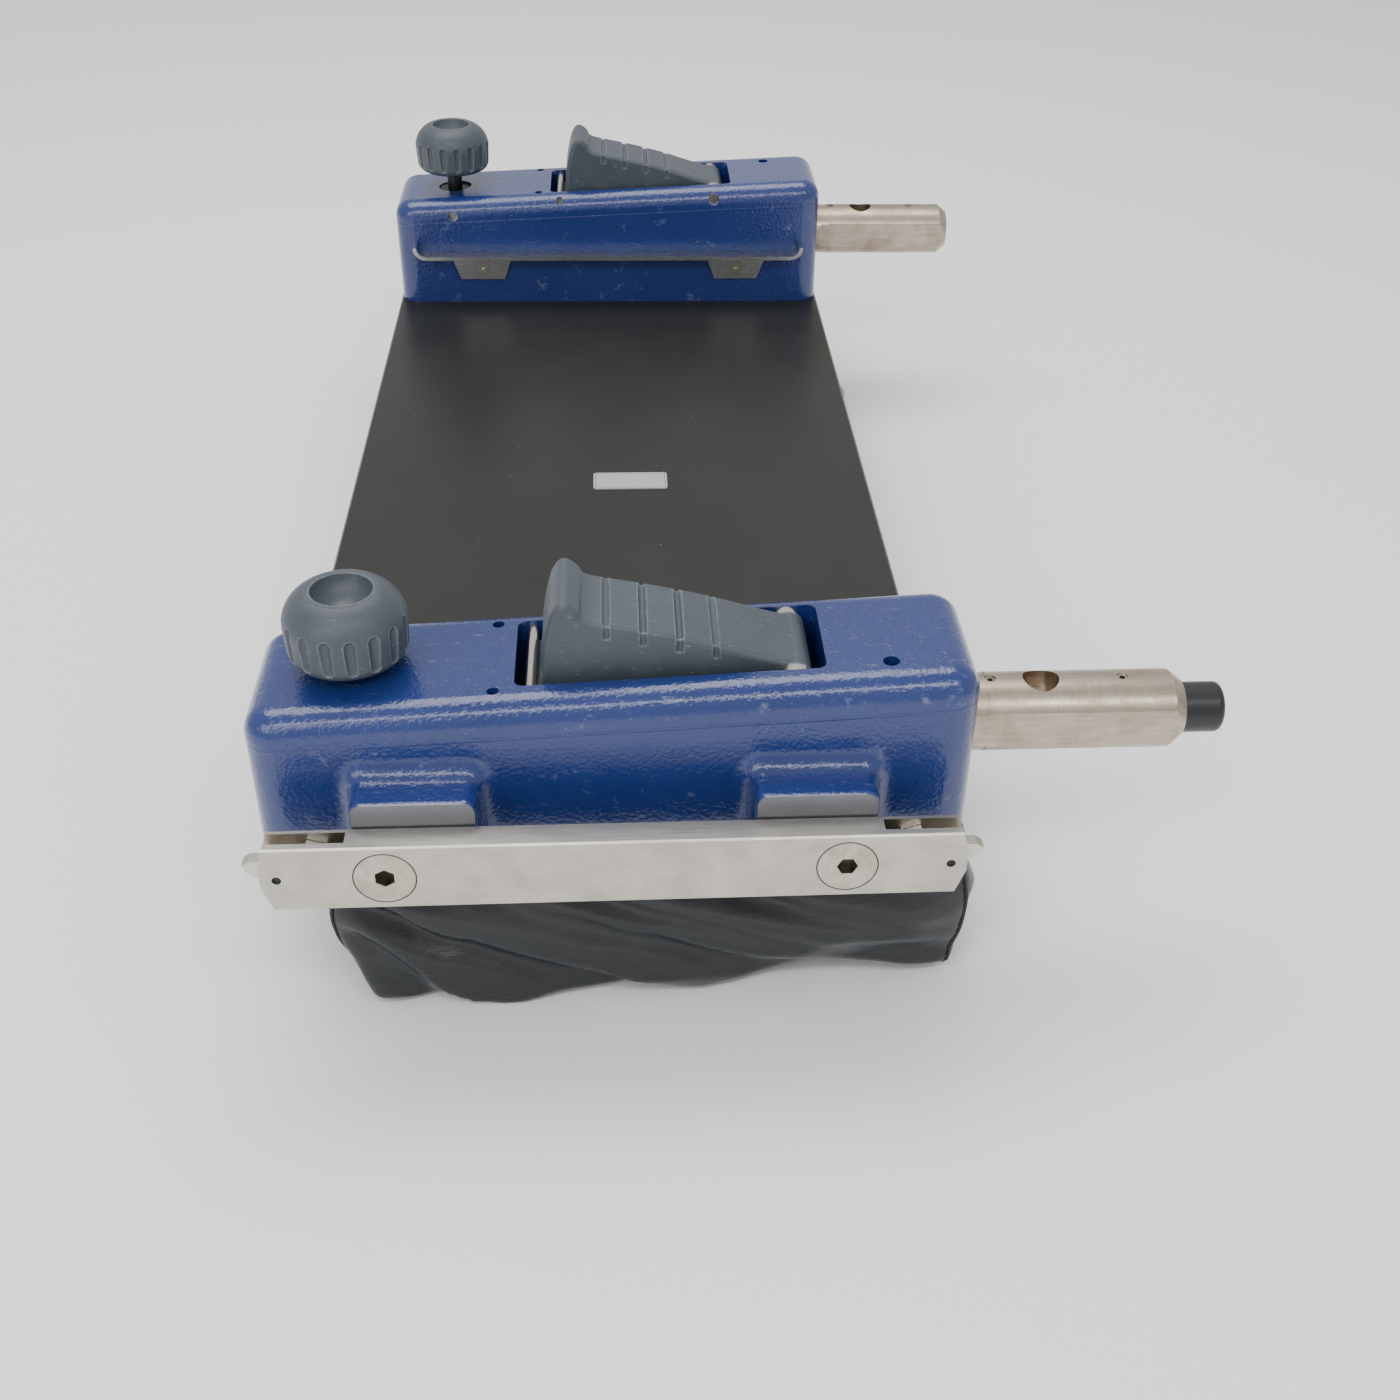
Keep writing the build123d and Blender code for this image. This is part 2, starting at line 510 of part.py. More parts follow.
def make_guide_strip():
    """Folded strip: a level flange with ends that sweep up, and two tabs that are screwed on."""
    low = PANEL_TOP + GUIDE_HEIGHT
    high = low + GUIDE_THICKNESS
    rise = GUIDE_FLARE
    inner = rise - GUIDE_THICKNESS

    def sweep_up(end, radius):
        """Quarter arc that lifts one end of the flange, from the level stretch outwards."""
        turn = (end * (GUIDE_HALF - rise), low + rise)
        slant = radius * math.sqrt(0.5)
        points = [(turn[0], turn[1] - radius), (turn[0] + end * slant, turn[1] - slant),
                  (turn[0] + end * radius, turn[1])]
        return [(x, 0, z) for x, z in points]

    under_front, under_rear = sweep_up(1, rise), sweep_up(-1, rise)
    over_front, over_rear = sweep_up(1, inner), sweep_up(-1, inner)
    edges = [Line(under_rear[0], under_front[0]), ThreePointArc(*under_front), Line(under_front[2], over_front[2]),
             ThreePointArc(*over_front), Line(over_front[0], over_rear[0]), ThreePointArc(*over_rear),
             Line(over_rear[2], under_rear[2]), ThreePointArc(*under_rear)]
    flange = extrude(make_face(Curve() + edges), amount=GUIDE_DEPTH, dir=(0, 1, 0))
    strip = Pos(0, INNER, 0) * flange
    for x in (-GUIDE_TAB_X, GUIDE_TAB_X):
        half_top, half_foot = GUIDE_TAB_TOP / 2, GUIDE_TAB_FOOT / 2
        foot = low - GUIDE_TAB_DROP
        narrow, bend = GUIDE_TAB_BEND
        outline = [(x - half_top, high), (x - half_top + narrow, low - bend), (x - half_foot, foot),
                   (x + half_foot, foot), (x + half_top - narrow, low - bend), (x + half_top, high)]
        strip = strip + slab_xz(outline, INNER, INNER + GUIDE_THICKNESS)
        strip = strip - guide_screw_place(x) * countersink_cut(*GUIDE_SCREW)
    return strip


def guide_screw_place(x):
    return Pos(x, INNER + GUIDE_THICKNESS, guide_screw_z()) * Rot(-90, 0, 0)


def make_guide_screws():
    screws = []
    for x in (-GUIDE_TAB_X, GUIDE_TAB_X):
        screws.append(guide_screw_place(x) * countersunk_screw(*GUIDE_SCREW, GUIDE_SCREW_KEY))
    return Compound(children=screws)


# ================================================================ coupling pin and lock
def make_coupling_pin(has_tip):
    """Steel pin on the X axis of its own side, at y = 0.  Its flat faces -Y."""
    start = FRONT - PIN_SHANK
    end = FRONT + PIN_REACH
    radial, axial = PIN_CHAMFER
    root = PIN_RADIUS - PIN_RELIEF
    outline = [(0, start), (SHANK_RADIUS, start), (SHANK_RADIUS, FRONT), (root, FRONT), (root, FRONT + PIN_ROOT),
               (PIN_RADIUS, FRONT + PIN_ROOT), (PIN_RADIUS, end - axial), (PIN_RADIUS - radial, end), (0, end)]
    pin = Pos(0, 0, AXIS_Z) * Rot(0, 90, 0) * turned(outline, 0, 0, 0)
    flat_y = math.sqrt(PIN_RADIUS ** 2 - (PIN_FLAT_WIDTH / 2) ** 2)
    flat = block(FRONT + PIN_FLAT_START, end + OVER, -PIN_DIAMETER, -flat_y,
                 AXIS_Z - PIN_RADIUS, AXIS_Z + PIN_RADIUS)
    run_out = flat.faces().sort_by(Axis.X)[0].edges().filter_by(Axis.X, reverse=True).filter_by(Axis.Y)
    flat = fillet(run_out, PIN_FLAT_WIDTH / 3)
    pin = pin - flat
    pin = pin - bar_x(ROD_DIAMETER / 2 + RUNNING, start - OVER, CROSS_X + ROD_BORE_TAIL, 0, AXIS_Z)
    pin = pin - bar_z(CROSS_HOLE_DIAMETER / 2, AXIS_Z - PIN_DIAMETER, AXIS_Z + PIN_DIAMETER, CROSS_X, 0)
    for at in PIN_SCREW_AT:
        pin = pin - bar_z(PIN_SCREW_DIAMETER / 2, AXIS_Z + ROD_DIAMETER / 4, AXIS_Z + PIN_DIAMETER, FRONT + at, 0)
    if has_tip:
        pin = pin - bar_x(TIP_SPIGOT / 2, end - TIP_SPIGOT_LENGTH, end + OVER, 0, AXIS_Z)
    return pin - bar_z(PIN_BOLT_DIAMETER / 2, AXIS_Z - PIN_DIAMETER,
                       AXIS_Z - SHANK_RADIUS + PIN_BOLT_BITE, PIN_BOLT_X, 0)


def make_pin_screws():
    """Grub screws in the top of a coupling pin."""
    top = AXIS_Z + PIN_RADIUS - PIN_SCREW_SUNK
    screws = []
    for at in PIN_SCREW_AT:
        screw = Cylinder(PIN_SCREW_DIAMETER / 2, PIN_SCREW_DEPTH, align=(Align.CENTER, Align.CENTER, Align.MAX))
        screw = screw - hex_socket(*PIN_SCREW_KEY)
        screws.append(Pos(FRONT + at, 0, top) * screw)
    return Compound(children=screws)


def make_pilot_tip():
    """Plastic nose that leads the coupling pin into its socket."""
    end = FRONT + PIN_REACH
    tip = bar_x(TIP_DIAMETER / 2, end, end + TIP_LENGTH, 0, AXIS_Z)
    tip = fillet(tip.faces().sort_by(Axis.X)[-1].edges(), TIP_ROUND)
    spigot = bar_x(TIP_SPIGOT / 2, end - TIP_SPIGOT_LENGTH + OVER, end + OVER, 0, AXIS_Z)
    seat_z = AXIS_Z + PIN_RADIUS - PIN_SCREW_SUNK - PIN_SCREW_DEPTH
    seat = bar_z(PIN_SCREW_DIAMETER / 2 + SEAT, seat_z - SEAT, AXIS_Z + PIN_DIAMETER, FRONT + PIN_SCREW_AT[1], 0)
    return tip + spigot - seat


def tongue_outline(half_height, x0, x1):
    """Slanting band about the lock hole's axis, from x0 to x1."""
    def line(x):
        return AXIS_Z + LOCK_SLOPE * (x - CROSS_X)
    return [(x0, line(x0) - half_height), (x1, line(x1) - half_height),
            (x1, line(x1) + half_height), (x0, line(x0) + half_height)]


def make_push_rod():
    """Rod that the lever pushes along the coupling pin; its slanting tongue drives the plunger down."""
    shoulder = CROSS_X - CROSS_HOLE_DIAMETER / 2 - ROD_TRAVEL - OVER
    end = CROSS_X + CROSS_HOLE_DIAMETER / 2 + OVER
    rod = bar_x(ROD_DIAMETER / 2, ROD_START, end, 0, AXIS_Z)
    radius = ROD_DIAMETER
    for sign in (-1, 1):
        cheek = sorted((sign * ROD_TONGUE_WIDTH / 2, sign * radius))
        rod = rod - block(shoulder, end + OVER, *cheek, AXIS_Z - radius, AXIS_Z + radius)
    half = ROD_TONGUE_HEIGHT / 2
    band = slab_xz(tongue_outline(half, shoulder, end), -radius, radius)
    keep = bar_x(radius, ROD_START - OVER, shoulder, 0, AXIS_Z) + band
    rod = rod & keep
    key_x = FRONT + PIN_SCREW_AT[0]
    key_floor = AXIS_Z + PIN_RADIUS - PIN_SCREW_SUNK - PIN_SCREW_DEPTH - FREE
    keyway = block(key_x - ROD_TRAVEL - PIN_SCREW_DIAMETER, key_x + PIN_SCREW_DIAMETER,
                   -PIN_SCREW_DIAMETER / 2 - FREE, PIN_SCREW_DIAMETER / 2 + FREE, key_floor, AXIS_Z + radius)
    return rod - keyway


def make_lock_plunger():
    """Plunger in the pin's cross hole; driven down, it pushes the socket's latch out of the hole."""
    low = AXIS_Z - PIN_RADIUS + PLUNGER_RECESS
    radius = CROSS_HOLE_DIAMETER / 2 - RUNNING
    plunger = bar_z(radius, low, low + PLUNGER_HEIGHT, CROSS_X, 0)
    plunger = fillet(plunger.faces().sort_by(Axis.Z)[0].edges(), PLUNGER_ROUND)
    window = slab_xz(tongue_outline(ROD_TONGUE_HEIGHT / 2 + SEAT, CROSS_X - PIN_RADIUS, CROSS_X + PIN_RADIUS),
                     -ROD_TONGUE_WIDTH / 2 - SEAT, ROD_TONGUE_WIDTH / 2 + SEAT)
    return plunger - window


def make_socket_liner():
    """Steel bush that takes the next section's coupling pin."""
    liner = bar_x(LINER_RADIUS, REAR, CAVITY_REAR, CENTRE, AXIS_Z)
    liner = liner - bar_x(SOCKET_RADIUS, REAR - OVER, CAVITY_REAR + OVER, CENTRE, AXIS_Z)
    return liner - bar_z(CLAMP_THREAD / 2 + FREE, AXIS_Z, AXIS_Z + PIN_DIAMETER, KNOB_X, CENTRE)


def make_pin_bolt():
    """Socket screw that holds the coupling pin from below."""
    head, height = PIN_BOLT_HEAD
    top = AXIS_Z - SHANK_RADIUS + PIN_BOLT_BITE - BOLT_ROOM
    under_head = PANEL_TOP + height
    bolt = bar_z(head / 2, under_head - height + SEAT, under_head, PIN_BOLT_X, CENTRE)
    bolt = bolt + bar_z(PIN_BOLT_DIAMETER / 2, under_head - OVER, top, PIN_BOLT_X, CENTRE)
    key = Pos(PIN_BOLT_X, CENTRE, under_head - height + SEAT) * Rot(180, 0, 0) * hex_socket(*PIN_BOLT_KEY)
    return bolt - key


def make_housing_bolts():
    screws = [place * countersunk_screw(*BOLT, BOLT_KEY) for place in bolt_places()]
    return Compound(children=screws)


# ================================================================ release lever
def lever_outline():
    """Side view of the lever: curved free face, finger ridge, sloping grip and round hub."""
    def free_face(z):
        return PIVOT_X - math.sqrt(LEVER_REACH ** 2 - (z - PIVOT_Z) ** 2)
    bottom = PANEL_TOP + LEVER_BOTTOM
    toe_top = LEVER_STOP_Z - LEVER_STOP_DIAMETER / 2 - FREE
    toe_low = toe_top - LEVER_TOE_HEIGHT
    toe_x = free_face(toe_top) - LEVER_TOE
    ridge = (free_face(PIVOT_Z + LEVER_RIDGE), PIVOT_Z + LEVER_RIDGE)
    bend = (free_face(PIVOT_Z + LEVER_BEND), PIVOT_Z + LEVER_BEND)
    crown_top = (PIVOT_X - RIDGE_BACK, PIVOT_Z + LEVER_CROWN)
    crown_side = (PIVOT_X - RIDGE_FRONT[0], PIVOT_Z + RIDGE_FRONT[1])
    dip = (PIVOT_X - GRIP_START, PIVOT_Z + LEVER_DIP)
    grip_middle = (PIVOT_X - GRIP_MIDDLE, PIVOT_Z + LEVER_MIDDLE)
    start = (free_face(toe_top), toe_top)
    face = ThreePointArc(start, bend, ridge)
    crown = Spline(ridge, crown_top, crown_side, dip, tangents=((0.45, 1.0), (1.0, -0.28)))
    grip = Spline(dip, grip_middle, (PIVOT_X, PIVOT_Z + LEVER_HUB), tangents=((1.0, -0.2), (1.0, -0.22)))
    hub = ThreePointArc((PIVOT_X, PIVOT_Z + LEVER_HUB), (PIVOT_X + LEVER_HUB, PIVOT_Z),
                        (PIVOT_X, PIVOT_Z - LEVER_HUB))
    base = Polyline((PIVOT_X, PIVOT_Z - LEVER_HUB), (PIVOT_X - HEEL_FRONT, bottom), (PIVOT_X - HEEL_REAR, bottom),
                    (toe_x + HEEL_RAMP, toe_low), (toe_x, toe_low), (toe_x, toe_top), start)
    return make_face(Curve() + [face, crown, grip, hub] + list(base.edges()))


def make_lever():
    flat = lever_outline()
    lever = Rot(90, 0, 0) * extrude(flat, amount=LEVER_WIDTH / 2, both=True)
    lever = Pos(0, CENTRE, 0) * lever

    def upper_rim(edge):
        middle = edge.center()
        on_cheek = abs(abs(middle.Y - CENTRE) - LEVER_WIDTH / 2) < NEAR
        return on_cheek and middle.Z > PIVOT_Z + NEAR
    lever = fillet(lever.edges().filter_by(upper_rim), LEVER_EDGE)
    for back in GROOVES:
        lever = lever - groove_cut(PIVOT_X - back)
    lever = lever - bar_y(PIVOT_DIAMETER / 2 + RUNNING, OUTER, INNER, PIVOT_X, PIVOT_Z)
    half = CRANK_THICKNESS / 2 + SEAT
    lever = lever - block(CRANK_REAR - SEAT, CRANK_FRONT + SEAT, CENTRE - half, CENTRE + half,
                          PANEL_TOP, PIVOT_Z - LEVER_HUB + CRANK_BITE + SEAT)
    pocket_top = PANEL_TOP + LEVER_BOTTOM + SPRING_POCKET
    return lever - bar_z(SPRING_DIAMETER / 2 + POCKET_ROOM, PANEL_TOP, pocket_top, SPRING_X, CENTRE)


def grip_height(x):
    """Height of the lever's grip along its straight stretch."""
    return PIVOT_Z + LEVER_DIP - GRIP_SLOPE * (x - PIVOT_X + GRIP_START)


def groove_cut(x):
    """Finger groove across the grip that runs a little way down each side."""
    z = grip_height(x) + GROOVE_RADIUS * GROOVE_SUNK
    groove = bar_y(GROOVE_RADIUS, CENTRE - LEVER_WIDTH, CENTRE + LEVER_WIDTH, x, z)
    for sign in (-1, 1):
        y = CENTRE + sign * (LEVER_WIDTH / 2 + GROOVE_RADIUS * GROOVE_SUNK)
        groove = groove + bar_z(GROOVE_RADIUS, z - GROOVE_DROP, z + OVER, x, y)
    return groove


def make_lever_crank():
    """Steel arm under the lever that pushes the rod."""
    top = PIVOT_Z - LEVER_HUB + CRANK_BITE
    low = PANEL_TOP + LEVER_BOTTOM - CRANK_BITE
    nose = PIVOT_X + CRANK_NOSE
    outline = [(CRANK_REAR, top), (CRANK_FRONT, top), (CRANK_FRONT, low), (nose, AXIS_Z + CRANK_BITE),
               (nose, AXIS_Z), (PIVOT_X - CRANK_NOSE, AXIS_Z), (CRANK_REAR + CRANK_NECK, low - CRANK_NECK / 3),
               (CRANK_REAR, low)]
    half = CRANK_THICKNESS / 2
    crank = slab_xz(outline, CENTRE - half, CENTRE + half)
    return crank + bar_y(CRANK_NOSE, CENTRE - half, CENTRE + half, PIVOT_X, AXIS_Z)


def make_pivot_pin():
    return bar_y(PIVOT_DIAMETER / 2, OUTER + BLIND_HOLE, INNER - PIVOT_PIN_SUNK, PIVOT_X, PIVOT_Z)


def make_lever_washers():
    gap = (CAVITY_WIDTH - LEVER_WIDTH) / 2
    washers = []
    for sign in (-1, 1):
        y = CENTRE + sign * (CAVITY_WIDTH + LEVER_WIDTH) / 4
        half = (gap - 2 * SEAT) / 2
        washer = bar_y(WASHER_RADIUS, y - half, y + half, PIVOT_X, PIVOT_Z)
        washers.append(washer - bar_y(PIVOT_DIAMETER / 2, y - gap, y + gap, PIVOT_X, PIVOT_Z))
    return Compound(children=washers)


def make_lever_stop_pin():
    return bar_y(LEVER_STOP_DIAMETER / 2, OUTER + BLIND_HOLE, INNER - LEVER_STOP_SUNK, LEVER_STOP_X, LEVER_STOP_Z)


def make_lever_spring():
    """Outer shape of the compression spring between the cavity's floor and the lever."""
    top = PANEL_TOP + LEVER_BOTTOM + SPRING_POCKET - SEAT
    spring = bar_z(SPRING_DIAMETER / 2, CAVITY_Z, top, SPRING_X, CENTRE)
    return spring - bar_z(SPRING_DIAMETER / 2 - SPRING_WIRE, CAVITY_Z - OVER, top + OVER, SPRING_X, CENTRE)


# ================================================================ socket clamp
def make_clamp_insert():
    """Threaded bush in the housing; the thread is left plain."""
    low = AXIS_Z + LINER_RADIUS
    high = top_z(KNOB_X - INSERT_DIAMETER / 2) - INSERT_SUNK
    insert = bar_z(INSERT_DIAMETER / 2, low, high, KNOB_X, CENTRE)
    insert = chamfer(insert.faces().sort_by(Axis.Z)[-1].edges(), INSERT_EDGE)
    insert = insert - bar_z(CLAMP_THREAD / 2 + RUNNING, low - OVER, high + OVER, KNOB_X, CENTRE)
    return insert - bar_y(DOWEL_DIAMETER / 2, DOWEL_START, INNER, KNOB_X, DOWEL_Z)


def make_insert_dowel():
    return bar_y(DOWEL_DIAMETER / 2, DOWEL_START, INNER - DOWEL_SUNK, KNOB_X, DOWEL_Z)


def make_clamp_tip(raised):
    diameter, height = CLAMP_TIP
    tip = bar_z(diameter / 2, CLAMP_TIP_Z, CLAMP_TIP_Z + height - RUNNING, KNOB_X, CENTRE)
    return Pos(0, 0, raised) * tip


def make_clamp_screw(raised):
    low = CLAMP_TIP_Z + CLAMP_TIP[1]
    high = top_z(KNOB_X) + KNOB_GAP + KNOB_HEIGHT / 2
    screw = bar_z(CLAMP_THREAD / 2, low, high, KNOB_X, CENTRE)
    return Pos(0, 0, raised) * chamfer(screw.faces().sort_by(Axis.Z)[0].edges(), CLAMP_SCREW_EDGE)


def flute_cut():
    """Round-ended groove down a knob's side."""
    low, high, radius = KNOB_FLUTE
    slant = radius * math.sqrt(0.5)
    upper = ThreePointArc((0, 0, high), (slant, 0, high - radius + slant), (radius, 0, high - radius))
    lower = ThreePointArc((radius, 0, low + radius), (slant, 0, low + radius - slant), (0, 0, low))
    side = Line((radius, 0, high - radius), (radius, 0, low + radius))
    stem = Line((0, 0, low), (0, 0, high))
    capsule = revolve(make_face(Curve() + [upper, side, lower, stem]), axis=Axis.Z, revolution_arc=360)
    return Pos(KNOB_DIAMETER / 2 + KNOB_FLUTE_OUT, 0, 0) * capsule


def make_clamp_knob(raised):
    """Fluted knob with a domed top and a round finger dish."""
    radius = KNOB_DIAMETER / 2
    high = KNOB_HEIGHT
    foot_in, bend_in, bend_up, side_in, side_up = KNOB_FOOT
    drop, dome_in, dome_drop, top_in = KNOB_DOME
    foot = Line((0, 0, 0), (radius - foot_in, 0, 0))
    side_foot = (radius - side_in, 0, side_up)
    side_top = (radius, 0, high - drop)
    rim = (radius - top_in, 0, high)
    skirt = ThreePointArc((radius - foot_in, 0, 0), (radius - bend_in, 0, bend_up), side_foot)
    side = Line(side_foot, side_top)
    dome = ThreePointArc(side_top, (radius - dome_in, 0, high - dome_drop), rim)
    top = Line(rim, (0, 0, high))
    stem = Line((0, 0, high), (0, 0, 0))
    knob = revolve(make_face(Curve() + [foot, skirt, side, dome, top, stem]), axis=Axis.Z, revolution_arc=360)
    dish_radius = ((KNOB_DISH / 2) ** 2 + KNOB_DISH_DEPTH ** 2) / (2 * KNOB_DISH_DEPTH)
    knob = knob - Pos(0, 0, high - KNOB_DISH_DEPTH + dish_radius) * Sphere(dish_radius)
    for index in range(KNOB_FLUTES):
        knob = knob - Rot(0, 0, (index + 0.5) * 360 / KNOB_FLUTES) * flute_cut()
    knob = knob - bar_z(CLAMP_THREAD / 2, -OVER, KNOB_HEIGHT / 2, 0, 0)
    return Pos(KNOB_X, CENTRE, top_z(KNOB_X) + KNOB_GAP + raised) * knob


# ================================================================ write the nodes
def save_side(side):
    """All pieces of one side of the section."""
    mirrored = {
        "housing": make_housing(),
        "side_rail": make_side_rail(),
        "rail_screws": make_rail_screws(),
        "rail_stop_front": make_rail_stop(1),
        "rail_stop_rear": make_rail_stop(-1),
        "rail_stop_pins": make_rail_stop_pins(),
        "guide_strip": make_guide_strip(),
        "guide_strip_screws": make_guide_screws(),
        "socket_liner": make_socket_liner(),
        "coupling_pin_bolt": make_pin_bolt(),
        "housing_bolts": make_housing_bolts(),
        "lever": make_lever(),
        "lever_crank": make_lever_crank(),
        "lever_pivot_pin": make_pivot_pin(),
        "lever_washers": make_lever_washers(),
        "lever_stop_pin": make_lever_stop_pin(),
        "lever_spring": make_lever_spring(),
        "clamp_insert": make_clamp_insert(),
        "clamp_insert_dowel": make_insert_dowel(),
        "clamp_tip": make_clamp_tip(CLAMP_RAISED[side]),
        "clamp_screw": make_clamp_screw(CLAMP_RAISED[side]),
        "clamp_knob": make_clamp_knob(CLAMP_RAISED[side]),
    }
    for name, shape in mirrored.items():
        save(on_side(shape, side), f"{side}_{name}")
    axis = Pos(0, CENTRE if side == "right" else -CENTRE, 0)
    has_tip = side == "right"
    save(axis * make_coupling_pin(has_tip), f"{side}_coupling_pin")
    save(axis * make_pin_screws(), f"{side}_coupling_pin_screws")
    save(axis * make_push_rod(), f"{side}_push_rod")
    save(axis * make_lock_plunger(), f"{side}_lock_plunger")
    if has_tip:
        save(axis * make_pilot_tip(), f"{side}_pilot_tip")


os.makedirs("parts", exist_ok=True)
save(make_pad(), "pad")
save(make_pad_strips(), "pad_fastening_strips")
save(make_panel(), "panel")
save(make_label_plate(), "label_plate")
save_side("right")
save_side("left")
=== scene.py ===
"""Looks of a plug-in operating table section, built around its packed CAD frame."""

import math

import bmesh
import bpy
from bpy.props import FloatProperty, FloatVectorProperty, PointerProperty
from mathutils import Matrix, Vector, noise
from mathutils.bvhtree import BVHTree


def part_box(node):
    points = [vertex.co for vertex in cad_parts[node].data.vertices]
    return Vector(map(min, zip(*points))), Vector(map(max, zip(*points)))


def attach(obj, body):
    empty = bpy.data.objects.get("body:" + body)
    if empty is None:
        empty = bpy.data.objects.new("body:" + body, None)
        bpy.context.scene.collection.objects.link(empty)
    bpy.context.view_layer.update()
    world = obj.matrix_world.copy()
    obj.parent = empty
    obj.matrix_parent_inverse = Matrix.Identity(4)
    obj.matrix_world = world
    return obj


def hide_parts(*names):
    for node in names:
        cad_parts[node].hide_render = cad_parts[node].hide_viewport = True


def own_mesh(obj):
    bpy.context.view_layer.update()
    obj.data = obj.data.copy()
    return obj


bl_info = {
    "name": "Operating Table Section",
    "version": (1, 0, 0),
    "blender": (4, 5, 0),
    "location": "3D View > Sidebar > Table Section",
    "description": "Finishes, pad and stage of a plug-in operating table section",
    "category": "Object",
}

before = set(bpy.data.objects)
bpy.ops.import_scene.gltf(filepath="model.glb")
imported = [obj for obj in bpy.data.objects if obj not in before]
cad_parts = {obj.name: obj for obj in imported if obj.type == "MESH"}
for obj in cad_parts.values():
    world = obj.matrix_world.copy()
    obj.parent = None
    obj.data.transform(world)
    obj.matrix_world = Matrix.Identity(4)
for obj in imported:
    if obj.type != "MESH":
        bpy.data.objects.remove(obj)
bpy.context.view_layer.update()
SIDES = ("right", "left")
ROOT_BODY = "section"
MM = 0.001


# ---------------------------------------------------------------- settings
def colour_setting(name, about, value):
    return FloatVectorProperty(name=name, description=about, default=value, subtype="COLOR", size=3,
                               min=0, max=1)


def length_setting(name, about, value):
    return FloatProperty(name=name, description=about, default=value, unit="LENGTH")


def power_setting(name, about, value):
    return FloatProperty(name=name, description=about, default=value, min=0, max=200, unit="POWER")


def angle_setting(name, about, degrees):
    return FloatProperty(name=name, description=about, default=math.radians(degrees), subtype="ANGLE")


class StageSettings(bpy.types.PropertyGroup):
    floor_colour: colour_setting("Floor colour", "Colour of the pale floor", (0.93, 0.93, 0.93))
    backdrop: FloatProperty(name="Backdrop", description="Brightness of the room's soft light", default=0.78,
                            min=0, max=5)
    key_power: power_setting("Key light", "Power of the large overhead light", 17.0)
    fill_power: power_setting("Fill light", "Power of the front light", 5.0)
    strip_power: power_setting("Strip light", "Power of the narrow light that edges the housings", 6.0)
    camera_place: FloatVectorProperty(name="Camera place", description="Where the camera stands",
                                      default=(0.0026, -0.6886, 0.4245), subtype="XYZ", unit="LENGTH", size=3)
    heading: angle_setting("Heading", "How far the camera turns to the right of +Y", 4.62)
    tilt: angle_setting("Tilt", "How far the camera looks down", 35.76)
    roll: angle_setting("Roll", "Turn of the camera about its own view", 1.56)
    lens: FloatProperty(name="Lens", description="Focal length in millimetres", default=42.2, min=10, max=200)


class PaintSettings(bpy.types.PropertyGroup):
    colour: colour_setting("Paint", "Blue powder coat", (0.011, 0.026, 0.135))
    peel: length_setting("Orange peel", "Size of the coat's ripples", 1.3 * MM)
    bare: colour_setting("Bare casting", "Machined aluminium seats", (0.17, 0.18, 0.21))


class MetalSettings(bpy.types.PropertyGroup):
    rail: colour_setting("Rail steel", "Ground stainless steel", (0.60, 0.565, 0.50))
    pin: colour_setting("Pin steel", "Handled nickel-plated steel", (0.47, 0.40, 0.32))
    dark: colour_setting("Dark steel", "Blackened steel", (0.05, 0.05, 0.055))
    bright: colour_setting("Bright pin", "Polished pins and washers", (0.66, 0.63, 0.58))


class PlasticSettings(bpy.types.PropertyGroup):
    grip: colour_setting("Grip", "Slate grey moulded grip", (0.048, 0.060, 0.074))
    worn: colour_setting("Worn grip", "Grip where its edges are rubbed", (0.26, 0.29, 0.32))
    tip: colour_setting("Pilot tip", "Black pilot tip", (0.012, 0.013, 0.015))
    laminate: colour_setting("Laminate", "Black laminate panel", (0.013, 0.0135, 0.012))


class PadSettings(bpy.types.PropertyGroup):
    colour: colour_setting("Cover", "Black coated cover", (0.0065, 0.0085, 0.0100))
    bulge: length_setting("Bulge", "How far the sides swell between their edges", 4.0 * MM)
    fold_depth: length_setting("Fold depth", "Depth of the largest folds", 5.2 * MM)
    tuck: length_setting("Tuck", "How far the rear lower corner is drawn in", 11.0 * MM)
    stitch: length_setting("Stitch", "Length of a stitch and its gap", 3.2 * MM)
    seam_width: length_setting("Seam", "Thickness of the sewn welt", 1.1 * MM)


class SpringSettings(bpy.types.PropertyGroup):
    turns: FloatProperty(name="Turns", description="Turns of a lever spring", default=9.0, min=2, max=30)
    wire: length_setting("Wire", "Wire diameter", 1.15 * MM)


SETTINGS = {
    "section_stage": StageSettings,
    "section_paint": PaintSettings,
    "section_metal": MetalSettings,
    "section_plastic": PlasticSettings,
    "section_pad": PadSettings,
    "section_spring": SpringSettings,
}


